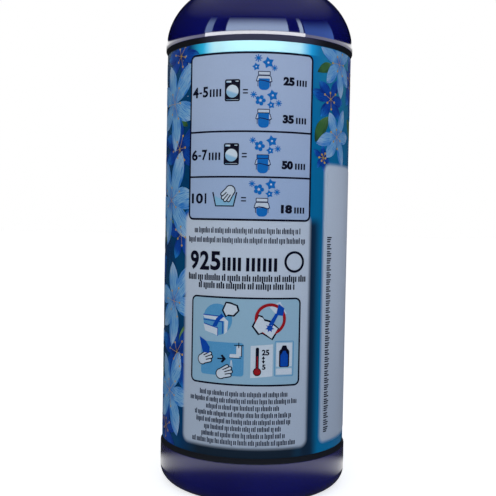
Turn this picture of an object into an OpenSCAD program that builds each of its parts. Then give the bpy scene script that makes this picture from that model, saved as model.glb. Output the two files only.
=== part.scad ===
/* [Bottle] */
// Diameter of the recessed panel that carries the label
panel_d = 79.5; // [70:0.5:90]
// Height of the recessed panel
panel_h = 170; // [150:1:190]
// Height of the panel's lower edge above the table
panel_z = 17; // [14:0.5:24]
// How far the beads below and above the panel stand out of it
bead_step = 0.9; // [0.5:0.1:1.5]
// Height of the slope from the panel out to each bead
slope_h = 2.2; // [1:0.1:4]
// Radius of the rounding where that slope ends in the bead
bead_edge_r = 0.9; // [0.5:0.1:1.5]
// Height of the straight band between the panel and the shoulder
band_h = 1; // [0.5:0.5:8]
// Wall of the blown body
body_wall = 1.1; // [0.8:0.1:1.6]
// Radius of the heel between the side and the base
heel_r = 7; // [5:0.5:9]
// Width of the flat ring that the bottle stands on
stand_w = 3.5; // [2:0.5:5]
// Depth of the hollow in the base
pushup_h = 4; // [2:0.5:6]
// Radius of the flat middle of that hollow
pushup_r = 21; // [14:1:24]
// Radius of the shoulder's outward curve
shoulder_r = 26; // [20:1:30]
// Radius of the inward curve where the shoulder meets the neck
neck_curve_r = 12; // [8:1:16]
// Outside diameter of the neck
neck_d = 46; // [42:0.5:50]
// Height of the straight neck
neck_h = 6; // [5:0.5:9]
// Wall of the neck
neck_wall = 1.8; // [1.4:0.1:2.2]

/* [Pour spout] */
// Clearance of the spout's skirt in the neck, all round
spout_fit = 0.05; // [0.02:0.01:0.1]
// Wall of the spout fitment
spout_wall = 1.1; // [0.8:0.1:1.4]
// Thickness of the flange that lies on the neck
flange_t = 1.4; // [1:0.1:2]
// How far the snap bead stands out under the neck
snap_step = 0.5; // [0.3:0.1:0.6]
// Height of the snap bead
snap_h = 1.2; // [0.8:0.1:1.6]
// Outside diameter of the pouring tube
tube_d = 22; // [16:0.5:25]
// Height of the pouring tube above the flange
tube_rise = 14; // [8:0.5:20]
// Slant of the pouring tube's lip
lip_slant = 28; // [10:1:35]
// Slope of the floor that drains back into the bottle
floor_slope = 5; // [2:0.5:7]
// Diameter of the drain hole
drain_d = 5; // [3:0.5:6]
// Width of the slot down the back of the pouring tube
slot_w = 5; // [4:0.5:7]

/* [Measuring cap] */
// Depth that the cap's mouth tube reaches below its collar
mouth_h = 15; // [11:0.5:18]
// Wall of the cap
cap_wall = 1.4; // [1.1:0.1:1.8]
// Room for the screw thread between the mouth tube and the spout's skirt
thread_room = 1.15; // [1:0.05:1.3]
// Height of the cap above its sealing face
dome_h = 49; // [42:1:56]
// Radius of the dome's rounded edge
dome_edge_r = 13; // [9:0.5:15]
// Height of the flared collar
collar_h = 21; // [16:0.5:26]
// How far the collar flares outwards over its height
collar_flare = 3.3; // [1:0.1:5]
// Depth of the waves in the collar's free edge
wave_h = 2.6; // [1:0.1:4]
// Number of grip ribs round the collar
ribs = 24; // [12:1:36]
// Radius of each grip rib
rib_r = 0.6; // [0.4:0.05:0.9]
// Thickness of the sealing ring under the collar
seal_t = 1; // [0.8:0.1:1.5]
// Clearance of the sealing ring round the mouth tube
seal_gap = 0.3; // [0.2:0.05:0.5]
// Height of the moulded dose lines inside the cup
dose_line = 0.4; // [0.3:0.05:0.6]
// Smallest dose with a moulded line, in millilitres
dose_low = 18; // [15:1:20]
// Middle dose with a moulded line, in millilitres
dose_mid = 25; // [22:1:28]
// Largest dose with a moulded line, in millilitres
dose_high = 35; // [30:1:36]

/* [Label] */
// Bare strip of the straight panel above and below the label
label_margin = 0.3; // [0.2:0.1:8]
// Thickness of the label film
film_t = 0.2; // [0.1:0.01:0.3]
// Gap that the glue fills under the film
glue_gap = 0.02; // [0.01:0.01:0.05]
// Width of the glued overlap at the back
overlap_w = 9; // [5:1:14]
// Thickness of one printed layer
ink = 0.04; // [0.03:0.01:0.06]
// Width of the frame lines
line_w = 0.5; // [0.3:0.05:0.8]
// Corner radius of the printed frames
frame_corner = 2.4; // [1:0.1:4]

/* [Hidden] */
$fn = 96;

eps = 0.01;
panel_r = panel_d / 2;
panel_top = panel_z + panel_h;
bead_r = panel_r + bead_step;
slope_lean = tangent_lean(bead_step - bead_edge_r, slope_h + bead_edge_r, bead_edge_r);
shoulder_z = panel_top + bead_edge_r + band_h;
neck_r = neck_d / 2;
curve_sum = shoulder_r + neck_curve_r;
shoulder_turn = acos(1 - (bead_r - neck_r) / curve_sum);
neck_z = shoulder_z + curve_sum * sin(shoulder_turn);
neck_top = neck_z + neck_h;
bore_r = neck_r - neck_wall;
stand_r = bead_r - heel_r;

// The spout fitment hangs in the neck from its flange
rim_z = neck_top + flange_t;
skirt_r = bore_r - spout_fit;
skirt_in = skirt_r - spout_wall;
tube_r = tube_d / 2;

// The cap's mouth tube goes down between the skirt and the pouring tube
cap_z = rim_z + seal_t;
mouth_r = skirt_in - thread_room;
cup_r = mouth_r - cap_wall;
cap_top = cap_z + dome_h;
mouth_end = cap_z - mouth_h;
drain_room = 0.8;
floor_mid = mouth_end - drain_room - skirt_in * tan(floor_slope);
skirt_end = floor_mid - skirt_in * tan(floor_slope) - spout_wall;
collar_r = neck_r + 0.2;
collar_top_r = collar_r + collar_flare;
collar_top = cap_z + collar_h;
collar_wall = cap_wall;
collar_tilt = atan(collar_flare / collar_h);

// The label is centred on the panel, and its artwork is drawn 165 units tall
film_r = panel_r + glue_gap;
label_r = film_r + film_t;
label_h = panel_h - 2 * (slope_h + label_margin);
label_mid = panel_z + panel_h / 2;
label_z = label_mid - label_h / 2;
unit = label_h / 165;

// The printed layers, from the film outwards
LEAF = 0;
BLUE = 1;
WHITE = 2;
PANEL = 3;
FIELD = 4;
FILL = 5;
MARK = 6;
TOP_MARK = 7;

// The dose table's edges and rows, in artwork units from the middle of the label's front
table_left = -30.1;
table_right = 22.8;
table_top = 78.2;
table_bottom = 12;
row_lines = [47.1, 29.25];
box_left = -27.3;
box_right = 19.1;
box_top = -18.2;
box_bottom = -53.5;
cup_s = 2.15;
cup_tops = [70.6, 55.9, 38.1, 21.1];
fill_heights = [4.5, 5.6, 7.2, 3.4];
number_s = 12.1;
number_mids = [67, 52.2, 34.2, 17];
machine_s = -10.35;
machine_mids = [63.15, 38.15];
basin_s = -12.9;
basin_mid = 20.3;
equal_s = -5.1;
equal_mids = [62.65, 37.75, 20.45];

function arc(c, r, a0, a1, n) =
    [for (i = [0:n]) let (a = a0 + (a1 - a0) * i / n) c + r * [cos(a), sin(a)]];

// How far from upright a line leans that touches the outer side of a circle of radius r, when the circle's
// middle is out to the side of the line's foot and up above it
function tangent_lean(out, up, r) = atan2(out, up) + asin(r / norm([out, up]));

// A smooth rise from p to q that starts and ends level
function ease(p, q, n) = [
    for (i = [1:n - 1]) let (t = i / n, rise = (1 - cos(180 * t)) / 2)
        p + [(q.x - p.x) * t, (q.y - p.y) * rise]
];

bottle_outside = concat(
    [[0, pushup_h], [pushup_r, pushup_h]],
    ease([pushup_r, pushup_h], [stand_r - stand_w, 0], 6),
    [[stand_r - stand_w, 0]],
    arc([stand_r, heel_r], heel_r, -90, 0, 8),
    arc([bead_r - bead_edge_r, panel_z - bead_edge_r], bead_edge_r, 0, slope_lean, 4),
    [[panel_r, panel_z + slope_h], [panel_r, panel_top - slope_h]],
    arc([bead_r - bead_edge_r, panel_top + bead_edge_r], bead_edge_r, -slope_lean, 0, 4),
    arc([bead_r - shoulder_r, shoulder_z], shoulder_r, 0, shoulder_turn, 12),
    arc([neck_r + neck_curve_r, neck_z], neck_curve_r, 180 + shoulder_turn, 180, 8),
    [[neck_r, neck_top]]
);
bottle_inside = concat(
    [[bore_r, neck_top], [bore_r, neck_z]],
    arc([neck_r + neck_curve_r, neck_z], neck_curve_r + body_wall, 180, 180 + shoulder_turn, 8),
    arc([bead_r - shoulder_r, shoulder_z], shoulder_r - body_wall, shoulder_turn, 0, 12),
    [
        [bead_r - body_wall, panel_top + bead_edge_r], [panel_r - body_wall, panel_top - slope_h],
        [panel_r - body_wall, panel_z + slope_h], [bead_r - body_wall, panel_z - bead_edge_r]
    ],
    arc([stand_r, heel_r], heel_r - body_wall, 0, -90, 8),
    [[stand_r - stand_w, body_wall]],
    ease([stand_r - stand_w, body_wall], [pushup_r, pushup_h + body_wall], 6),
    [[pushup_r, pushup_h + body_wall], [0, pushup_h + body_wall]]
);

module bottle() {
    color("MidnightBlue") rotate_extrude() polygon(concat(bottle_outside, bottle_inside));
}

// The wrapped film, with one end glued over the other at the back
module label() {
    color("SteelBlue") {
        tube(film_r, label_r, label_z, label_h);
        rotate([0, 0, 90]) rotate_extrude(angle = overlap_w / label_r * 180 / PI)
            translate([label_r - film_t / 2, label_z]) square([1.5 * film_t, label_h]);
    }
}

module tube(r_in, r_out, z, h) {
    translate([0, 0, z]) difference() {
        cylinder(r = r_out, h = h);
        translate([0, 0, -1]) cylinder(r = r_in, h = h + 2);
    }
}

// The skirt, flange and snap bead that hold the fitment in the neck
module spout_skirt() {
    snap_top = neck_z - 0.2;
    rotate_extrude() polygon([
        [skirt_in, skirt_end], [skirt_r, skirt_end],
        [skirt_r, snap_top - snap_h], [skirt_r + snap_step, snap_top - snap_h / 3],
        [skirt_r + snap_step, snap_top], [skirt_r, snap_top],
        [skirt_r, neck_top], [neck_r, neck_top], [neck_r, rim_z], [skirt_in, rim_z]
    ]);
}

// The sloping floor with its drain hole, and the slanted, slotted pouring tube
module pour_spout() {
    tube_top = rim_z + tube_rise;
    color("AliceBlue") {
        spout_skirt();
        difference() {
            union() {
                intersection() {
                    translate([0, 0, skirt_end]) cylinder(r = skirt_in + eps, h = floor_mid - skirt_end + 5);
                    translate([0, 0, floor_mid]) rotate([floor_slope, 0, 0])
                        translate([-neck_r, -neck_r, -spout_wall]) cube([neck_d, neck_d, spout_wall]);
                }
                translate([0, 0, floor_mid - spout_wall])
                    cylinder(r = tube_r, h = tube_top - floor_mid + spout_wall);
            }
            translate([0, 0, skirt_end - 1]) cylinder(r = tube_r - spout_wall, h = tube_top - skirt_end + 2);
            translate([0, -(skirt_in + tube_r) / 2, skirt_end - 1]) cylinder(d = drain_d, h = 20);
            translate([0, -tube_r, tube_top]) rotate([-lip_slant, 0, 0])
                translate([-neck_r, -neck_r, 0]) cube([neck_d, 3 * neck_d, neck_d]);
            translate([-slot_w / 2, 0, floor_mid + 3]) cube([slot_w, neck_r, tube_top - floor_mid]);
        }
    }
}

// The ring between the collar and the fitment's flange
module cap_seal() {
    color("WhiteSmoke") tube(mouth_r + seal_gap, neck_r - 0.3, rim_z, seal_t);
}

module measuring_cap() {
    color("LightSkyBlue") {
        cup_shell();
        difference() {
            union() {
                collar();
                for (i = [0:ribs - 1]) rotate([0, 0, 360 * i / ribs]) grip_rib();
            }
            for (a = [0, 90]) rotate([0, 0, a]) collar_wave();
        }
    }
}

// The cup's wall, from the mouth tube's end up over the dome
module cup_shell() {
    edge_z = cap_top - dome_edge_r;
    difference() {
        union() {
            translate([0, 0, mouth_end]) cylinder(r = mouth_r, h = edge_z - mouth_end);
            translate([0, 0, edge_z]) rounded_top(mouth_r, dome_edge_r);
        }
        translate([0, 0, mouth_end - 1]) cylinder(r = cup_r, h = edge_z - mouth_end + 1 + eps);
        translate([0, 0, edge_z]) rounded_top(cup_r, dome_edge_r - cap_wall);
    }
    for (ml = [dose_low, dose_mid, dose_high])
        tube(cup_r - dose_line / 2, cup_r + eps, cap_top - cap_wall - dose_depth(ml), dose_line);
}

// How deep a dose stands in the upturned cup: its rounded bottom first, then its straight wall
function dose_depth(ml) =
    let (e = dome_edge_r - cap_wall, r = cup_r - e)
    let (round_volume = PI * (r * r * e + r * PI * e * e / 2 + 2 * e * e * e / 3))
    e + (1000 * ml - round_volume) / (PI * cup_r * cup_r);

// A drum of radius r with an edge rounded by e, standing on its rounding's lower edge
module rounded_top(r, e) {
    rotate_extrude() intersection() {
        square([r, e]);
        union() {
            square([r - e, e]);
            translate([r - e, 0]) circle(r = e);
        }
    }
}

module collar() {
    rotate_extrude() polygon([
        [mouth_r - eps, cap_z], [collar_r, cap_z], [collar_top_r, collar_top],
        [collar_top_r - collar_wall, collar_top], [collar_r - collar_wall + 0.3, cap_z + collar_wall + 1],
        [mouth_r + 0.6, cap_z + collar_wall], [mouth_r - eps, cap_z + collar_wall + 0.6]
    ]);
}

module grip_rib() {
    translate([collar_r - rib_r / 3, 0, cap_z + 1]) rotate([0, collar_tilt, 0])
        cylinder(r = rib_r, h = (collar_h - wave_h - 3) / cos(collar_tilt), $fn = 24);
}

// A broad scoop across the collar's free edge, which leaves it standing in four waves
module collar_wave() {
    scoop_r = 30;
    translate([0, 0, collar_top + scoop_r - wave_h]) rotate([90, 0, 0])
        cylinder(r = scoop_r, h = 4 * neck_d, center = true);
}

function turn(s) = s * unit / label_r * 180 / PI;
function up(z) = label_mid + z * unit;
function layer_r(layer) = label_r + layer * ink;

// A flat shape in millimetres, drawn about its own middle, laid round the film at arc s and height z
module wrap(s, z, layer) {
    r = layer_r(layer);
    intersection() {
        tube(r, r + ink, label_z, label_h);
        rotate([0, 0, turn(s)]) translate([0, 0, up(z)]) rotate([90, 0, 0])
            linear_extrude(panel_d) children();
    }
}

// The same for a shape in artwork units
module draw(s, z, layer) {
    wrap(s, z, layer) scale(unit) children();
}

// A printed band between two arcs and two heights
module band(s0, s1, z0, z1, layer) {
    rotate([0, 0, turn(s0) - 90]) rotate_extrude(angle = turn(s1 - s0))
        translate([layer_r(layer), up(z0)]) square([ink, up(z1) - up(z0)]);
}

function rounded(w, h, c) = concat(
    arc([w / 2 - c, h / 2 - c], c, 0, 90, 5), arc([c - w / 2, h / 2 - c], c, 90, 180, 5),
    arc([c - w / 2, c - h / 2], c, 180, 270, 5), arc([w / 2 - c, c - h / 2], c, 270, 360, 5)
);

// A printed field with rounded corners; trim takes as much off each side
module field(s0, s1, z0, z1, corner, layer, trim = 0) {
    wrap((s0 + s1) / 2, (z0 + z1) / 2, layer) field_shape(s0, s1, z0, z1, corner, layer, trim);
}

module field_shape(s0, s1, z0, z1, corner, layer, trim = 0) {
    polygon(rounded(
        2 * layer_r(layer) * sin(turn(s1 - s0) / 2) - 2 * trim, up(z1) - up(z0) - 2 * trim, corner - trim
    ));
}

module frame(s0, s1, z0, z1, corner, layer) {
    wrap((s0 + s1) / 2, (z0 + z1) / 2, layer) difference() {
        field_shape(s0, s1, z0, z1, corner, layer);
        field_shape(s0, s1, z0, z1, corner, layer, line_w);
    }
}

// A flower outline with n round petals
function blossom(n, r) = [
    for (i = [0:8 * n - 1]) let (a = 45 * i / n)
        r * (0.4 + 0.6 * pow(abs(cos(n * a / 2)), 0.7)) * [sin(a), cos(a)]
];
function star(n, r) =
    [for (i = [0:2 * n - 1]) let (a = 180 * i / n) r * (i % 2 == 0 ? 1 : 0.5) * [sin(a), cos(a)]];
function leaf(l, w) = [
    for (i = [0:13]) let (a = 360 * i / 14) [w / 2 * sin(a) * (1 - 0.3 * cos(a)), l * (1 - cos(a)) / 2]
];

// Arc, height, radius and turn of each large blossom round the label
WHITE_BLOSSOMS = [
    [-37, 43, 9, 10], [-44, 3, 11, 40], [-38, -62, 9.5, 0], [30, 61, 7, 20],
    [-70, 52, 12, 15], [-84, -14, 14, 50], [-62, -40, 9, 30], [72, 60, 10, 0], [102, 22, 13, 25],
    [-104, 40, 10, 5]
];
BLUE_BLOSSOMS = [
    [-40, 63, 9, 30], [-36, 23, 8, 0], [-40, -27, 10, 20], [31, 75, 6, 40], [33, 47, 5.5, 0],
    [-60, 14, 12, 35], [-64, -66, 10, 10], [54, 66, 8, 15], [98, -8, 10, 0], [103, -48, 12, 30],
    [-103, -50, 12, 20]
];
LEAVES = [
    [-34, 10, 12, -35], [-33, -42, 12, 20], [27, 66, 8, 120], [-52, 32, 15, 60], [-56, -16, 16, -50],
    [-74, 30, 16, 20], [-80, -48, 15, 160], [62, 50, 12, 70], [90, 44, 16, -40], [98, -30, 16, 10],
    [-96, 8, 16, 80]
];

// As many of them as fit between the two sides of the glued overlap
function round_the_label(list) =
    [for (b = list) if ((abs(b[0]) + b[2]) * unit < PI * label_r - overlap_w) b];

module blue_blossoms() {
    color("RoyalBlue") for (b = round_the_label(BLUE_BLOSSOMS))
        draw(b[0], b[1], BLUE) rotate(b[3]) polygon(blossom(5, b[2]));
}

module white_blossoms() {
    color("AliceBlue") for (b = round_the_label(WHITE_BLOSSOMS))
        draw(b[0], b[1], WHITE) rotate(b[3]) polygon(blossom(5, b[2]));
}

module blossom_centres() {
    color("Goldenrod") for (b = round_the_label(concat(WHITE_BLOSSOMS, BLUE_BLOSSOMS)))
        draw(b[0], b[1], PANEL) circle(r = b[2] / 7);
}

module leaves() {
    color("ForestGreen") for (b = round_the_label(LEAVES))
        draw(b[0], b[1], LEAF) rotate(b[3]) polygon(leaf(b[2], b[2] / 3));
}

module text_panel() {
    color("LightGray") field(-32, 23.3, -78.3, table_bottom + 4, 3, PANEL);
}

module side_panel() {
    color("LightGray") field(30.5, 86, -78.3, 35, 3, PANEL);
}

module dose_table() {
    color("LightSteelBlue") field(table_left, table_right, table_bottom, table_top, frame_corner, FIELD);
}

module picture_box() {
    color("LightBlue") field(box_left, box_right, box_bottom, box_top, frame_corner, FIELD);
}

module frame_lines() {
    color("MidnightBlue") {
        frame(table_left, table_right, table_bottom, table_top, frame_corner, FILL);
        frame(box_left, box_right, box_bottom, box_top, frame_corner, FILL);
        for (z = row_lines) band(table_left, table_right, z - line_w / 2, z + line_w / 2, FILL);
    }
}

// A washing machine with its window and two panel slots left open
module machine_marks() {
    color("MidnightBlue") for (z = machine_mids) draw(machine_s, z, MARK) difference() {
        polygon(rounded(6.1, 8.3, 0.8));
        translate([0, -0.4]) circle(r = 2.5);
        translate([-1.6, 3.3]) square([1.7, 0.7], center = true);
        translate([1.3, 3.3]) square([2.2, 0.4], center = true);
    }
}

module machine_windows() {
    color("Azure") for (z = machine_mids) draw(machine_s, z - 0.4, FILL) circle(r = 2.5);
}

// A wash basin drawn as one open line, in front of its water
module basin_mark() {
    color("MidnightBlue") draw(basin_s, basin_mid, MARK) difference() {
        polygon([[-5.2, 2.8], [-3.8, -2.8], [3.8, -2.8], [5.2, 2.8]]);
        polygon([[-4.7, 3], [-3.4, -2.35], [3.4, -2.35], [4.7, 3]]);
    }
}

module basin_water() {
    color("SkyBlue") draw(basin_s, basin_mid, FILL)
        polygon([[-4.4, 1.6], [-3.5, -2.5], [3.5, -2.5], [4.4, 1.6]]);
}

module equal_marks() {
    color("MidnightBlue") for (z = equal_mids, side = [-1, 1])
        band(equal_s - 1, equal_s + 1, z + 0.55 * side - 0.2, z + 0.55 * side + 0.2, MARK);
}

module cup_outlines() {
    line = 0.22;
    color("MidnightBlue") for (z = cup_tops) {
        draw(cup_s, z - 0.75, MARK) difference() {
            square([4.85, 1.5], center = true);
            square([4.85 - 2 * line, 1.5 - 2 * line], center = true);
        }
        draw(cup_s, z - 2.7, MARK) difference() {
            polygon([[-2.4, 1.2], [-3.2, -1.2], [3.2, -1.2], [2.4, 1.2]]);
            polygon([[-2.2, 1.2 - line], [-2.9, -1.2 + line], [2.9, -1.2 + line], [2.2, 1.2 - line]]);
        }
    }
}

// The dose in each cup, with the round bottom of the real dome
module cup_fills() {
    depth = 7.35;
    color("DodgerBlue") for (i = [0:3]) draw(cup_s, cup_tops[i] - depth + fill_heights[i] / 2, FILL)
        intersection() {
            square([4.35, fill_heights[i]], center = true);
            translate([0, 4.35 - fill_heights[i] / 2]) polygon(rounded(4.35, 8.7, 1.8));
        }
}

// Five small marks over each cup: offsets from the cup's top, number of points and radius
CLUSTER = [[-3.4, 4.9, 8, 1.1], [-1.3, 2.9, 5, 2], [3.4, 5.1, 5, 2], [2.9, 1.6, 5, 1.3], [5.8, 2.2, 8, 1.1]];

module dose_blossoms() {
    color("DodgerBlue") for (z = cup_tops, m = CLUSTER)
        draw(cup_s + m[0], z + m[1] + 0.4, MARK) polygon(m[2] == 5 ? blossom(5, m[3]) : star(8, m[3]));
}

// Which of its seven strokes each digit has: top, upper left and right, middle, lower left and right, foot
STROKES = [
    [1, 1, 1, 0, 1, 1, 1], [0, 0, 1, 0, 0, 1, 0], [1, 0, 1, 1, 1, 0, 1], [1, 0, 1, 1, 0, 1, 1],
    [0, 1, 1, 1, 0, 1, 0], [1, 1, 0, 1, 0, 1, 1], [1, 1, 0, 1, 1, 1, 1], [1, 0, 1, 0, 0, 1, 0],
    [1, 1, 1, 1, 1, 1, 1], [1, 1, 1, 1, 0, 1, 1]
];

module digit(d, w, h, t) {
    places = [
        [0, h - t, w, t], [0, (h - t) / 2, t, (h + t) / 2], [w - t, (h - t) / 2, t, (h + t) / 2],
        [0, (h - t) / 2, w, t], [0, 0, t, (h + t) / 2], [w - t, 0, t, (h + t) / 2], [0, 0, w, t]
    ];
    for (i = [0:6]) if (STROKES[d][i] == 1)
        translate([places[i][0], places[i][1]]) square([places[i][2], places[i][3]]);
}

// A row of plain digits whose left end is at arc s
module number(digits, s, z, w, h, t) {
    for (i = [0:len(digits) - 1])
        draw(s + (w + t) * i + w / 2, z, MARK) translate([-w / 2, -h / 2]) digit(digits[i], w, h, t);
}

module dose_numbers() {
    color("MidnightBlue") for (i = [0:3])
        number([[2, 5], [3, 5], [5, 0], [1, 8]][i], number_s - 2, number_mids[i], 1.6, 3.1, 0.45);
}

module load_numbers() {
    color("MidnightBlue") {
        for (i = [0:1]) {
            number([[4], [6]][i], -28.4, machine_mids[i] - 0.2, 2.2, 4.2, 0.65);
            number([[5], [7]][i], -23.6, machine_mids[i] - 0.2, 2.2, 4.2, 0.65);
            band(-25.6, -24.2, machine_mids[i] - 0.6, machine_mids[i] - 0.1, MARK);
        }
        number([1, 0], -28.4, basin_mid + 0.4, 2.2, 4.1, 0.65);
    }
}

module volume_number() {
    color("MidnightBlue") number([9, 2, 5], -28.3, -4.1, 4, 7.4, 1.05);
}

module volume_ring() {
    color("MidnightBlue") draw(15.9, -4, MARK) difference() {
        circle(r = 4.1);
        circle(r = 3.2);
    }
}

// Widths of the plain bars that stand for words
WORDS = [5.2, 3.1, 7.4, 2.2, 6.1, 4.3, 8.2, 2.8];

module text_line(z, s0, s1, h, first = 0, gap = 0.9) {
    w = min(WORDS[first % len(WORDS)], s1 - s0);
    band(s0, s0 + w, z - h / 2, z + h / 2, MARK);
    if (s0 + w + gap + 1 < s1) text_line(z, s0 + w + gap, s1, h, first + 1, gap);
}

module bold_lines() {
    color("MidnightBlue") {
        text_line(-10.9, -29.4, 21.7, 1.7, 0);
        text_line(-14, -23.9, 16.9, 1.7, 3);
    }
}

SMALL_ENDS = [
    [-22.5, 14.2], [-27.3, 18.5], [-19.4, 11], [-24.8, 16.2],
    [-24, 16], [-20.2, 11.9], [-21.4, 13.3], [-26, 17.7]
];

module small_lines() {
    color("SlateGray") {
        text_line(8, -26.5, 18.7, 1.3, 1);
        text_line(4.2, -29.6, 21.6, 1.3, 4);
        for (i = [0:len(SMALL_ENDS) - 1])
            text_line(-57 - 2.77 * i, SMALL_ENDS[i][0], SMALL_ENDS[i][1], 1.2, i);
    }
}

// The next panel's column of short marks, and its own lines further round
module side_marks() {
    color("SlateGray") for (i = [0:25]) band(32.5, 34.3 + (i % 3), -74.5 + 2.9 * i, -73 + 2.9 * i, MARK);
}

module picture_fields() {
    color("SkyBlue") {
        draw(-15.1, -27.4, FILL) circle(r = 6.3);
        field(-22.1, -3.9, -49.7, -36.4, 1.2, FILL);
    }
}

// White cards, the drawer, the shirt and the soap cloths as plain shapes
module picture_cards() {
    color("White") {
        draw(-15.6, -29, MARK) polygon([[-5.2, 1.6], [4.4, 3.2], [5, -1.6], [-4.6, -3]]);
        draw(5.6, -29.4, FILL) polygon([
            [-5, -1.2], [-3, 2.6], [-1, 1.8], [1, 1.2], [3.2, -0.4], [1, -4.4], [-2.6, -2.2], [-3.4, -3.4]
        ]);
        field(-0.8, 8, -50, -37, 0.6, FILL);
        field(8.6, 16.1, -49.3, -35.6, 0.6, FILL);
        draw(-19.5, -42.6, MARK) polygon(rounded(7, 4.6, 2));
        draw(-10, -47.4, MARK) polygon(rounded(7, 4.6, 2));
    }
}

module picture_blue() {
    color("RoyalBlue") {
        draw(-13.3, -26.4, TOP_MARK) polygon([[-2.6, -3.4], [-1, 0.6], [1.6, 2.6], [0.6, 0], [-0.4, -3.4]]);
        draw(6.4, -28.6, MARK) polygon(blossom(5, 1.8));
        draw(-20.6, -37.6, TOP_MARK) polygon([[-2.2, 2.6], [2.4, -0.2], [1.6, -3], [-0.8, -2.6]]);
        field(10.4, 14.1, -45.6, -38.6, 0.8, MARK);
    }
}

module picture_dark() {
    color("MidnightBlue") {
        draw(12.25, -37.7, MARK) square([1.4, 1.6], center = true);
        draw(1.4, -42.2, MARK) polygon(rounded(1, 7.6, 0.45));
        draw(-13.2, -42.9, MARK) polygon(
            [[-1.6, 0.3], [0, 0.3], [0, 1.3], [1.6, 0], [0, -1.3], [0, -0.3], [-1.6, -0.3]]
        );
        draw(-5.9, -39.6, MARK)
            polygon([[-3.6, -1.4], [-3.4, -0.6], [0, -0.6], [0, 3], [0.9, 3], [0.9, -1.4]]);
        for (z = [-39.4, -42.6, -45.8]) band(3.6, 6.4, z - 0.4, z + 0.4, MARK);
    }
}

module picture_red() {
    color("FireBrick") {
        draw(6.4, -26.7, TOP_MARK) difference() {
            circle(r = 6);
            circle(r = 5);
        }
        draw(1.4, -47.7, TOP_MARK) circle(r = 1.5);
    }
}

bottle();
label();
pour_spout();
cap_seal();
measuring_cap();
blue_blossoms();
white_blossoms();
blossom_centres();
leaves();
text_panel();
side_panel();
dose_table();
picture_box();
frame_lines();
machine_marks();
machine_windows();
basin_mark();
basin_water();
equal_marks();
cup_outlines();
cup_fills();
dose_blossoms();
dose_numbers();
load_numbers();
volume_number();
volume_ring();
bold_lines();
small_lines();
side_marks();
picture_fields();
picture_cards();
picture_blue();
picture_dark();
picture_red();
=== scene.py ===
import logging
import math
from collections.abc import Sequence
from dataclasses import dataclass
from enum import Enum

import bmesh
import bpy
from mathutils import Matrix, Vector


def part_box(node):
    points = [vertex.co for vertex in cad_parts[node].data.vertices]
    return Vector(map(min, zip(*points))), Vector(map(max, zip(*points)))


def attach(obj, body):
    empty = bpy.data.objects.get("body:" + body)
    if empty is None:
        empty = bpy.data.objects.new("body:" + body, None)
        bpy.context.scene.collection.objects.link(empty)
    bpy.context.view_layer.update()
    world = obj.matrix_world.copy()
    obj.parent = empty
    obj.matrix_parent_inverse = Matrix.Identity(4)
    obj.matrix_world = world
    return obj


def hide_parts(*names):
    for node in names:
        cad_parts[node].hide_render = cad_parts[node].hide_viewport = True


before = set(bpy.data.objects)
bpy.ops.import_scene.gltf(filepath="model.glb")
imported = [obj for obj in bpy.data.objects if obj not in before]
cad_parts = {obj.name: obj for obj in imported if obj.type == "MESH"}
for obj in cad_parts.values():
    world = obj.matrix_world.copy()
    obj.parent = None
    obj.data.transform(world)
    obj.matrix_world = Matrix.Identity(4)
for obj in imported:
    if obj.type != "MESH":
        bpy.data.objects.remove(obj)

# A round bottle of fabric softener with a wrapped label, a pour spout and a measuring cap

log = logging.getLogger("softener_bottle")

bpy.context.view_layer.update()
MM = 0.001
FULL_TURN = 2 * math.pi
CUTS_ROUND = 240
END_GAP = 0.2 * MM
PRINT_GLOSS = 0.1
FIGURE_WEIGHT = 0.03

Colour = tuple[float, float, float]
Point = tuple[float, float]
Outline = Sequence[Point]
Spec = tuple[float, float, float, float]
Stops = list[tuple[float, Colour]]
Face = bmesh.types.BMFace
Socket = bpy.types.NodeSocket
Look = bpy.types.Material

WHITE_LIGHT: Colour = (1.0, 1.0, 1.0)


def screen(red: int, green: int, blue: int) -> Colour:
    """Turn a screen colour into the linear one that a shader takes.

    Args:
        red: Red from 0 to 255.
        green: Green from 0 to 255.
        blue: Blue from 0 to 255.

    Returns:
        The linear colour, each channel from 0 to 1.
    """
    levels = (value / 255 for value in (red, green, blue))
    return tuple(v / 12.92 if v < 0.04045 else ((v + 0.055) / 1.055) ** 2.4 for v in levels)


def arc(centre: Point, radius: float, start: float, end: float, count: int) -> list[Point]:
    """Points along a round stretch of an outline.

    Args:
        centre: Middle of the arc.
        radius: Its radius.
        start: Angle of its first point, in degrees.
        end: Angle of its last point, in degrees.
        count: How many steps it has.

    Returns:
        The points, both ends included.
    """
    turns = [math.radians(start + (end - start) * i / count) for i in range(count + 1)]
    return [(centre[0] + radius * math.cos(a), centre[1] + radius * math.sin(a)) for a in turns]


def ease(first: Point, last: Point, count: int) -> list[Point]:
    """Points of a smooth rise that starts and ends level, without its two ends.

    Args:
        first: Where it starts.
        last: Where it ends.
        count: How many steps it has.

    Returns:
        The points between the ends.
    """
    points = []
    for i in range(1, count):
        share = i / count
        lift = (1 - math.cos(math.pi * share)) / 2
        points.append((first[0] + (last[0] - first[0]) * share, first[1] + (last[1] - first[1]) * lift))
    return points


class Body(Enum):
    """The parts of the bottle that move on their own."""

    CONTAINER = "container"
    SEAL = "seal"
    CAP = "cap"


class Layer(Enum):
    """How far each printed layer's face stands out of the film, in millimetres."""

    LEAF = 0.03
    BLUE = 0.06
    WHITE = 0.09
    PANEL = 0.12
    FIELD = 0.15
    FILL = 0.18
    MARK = 0.21
    TOP_MARK = 0.24


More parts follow.
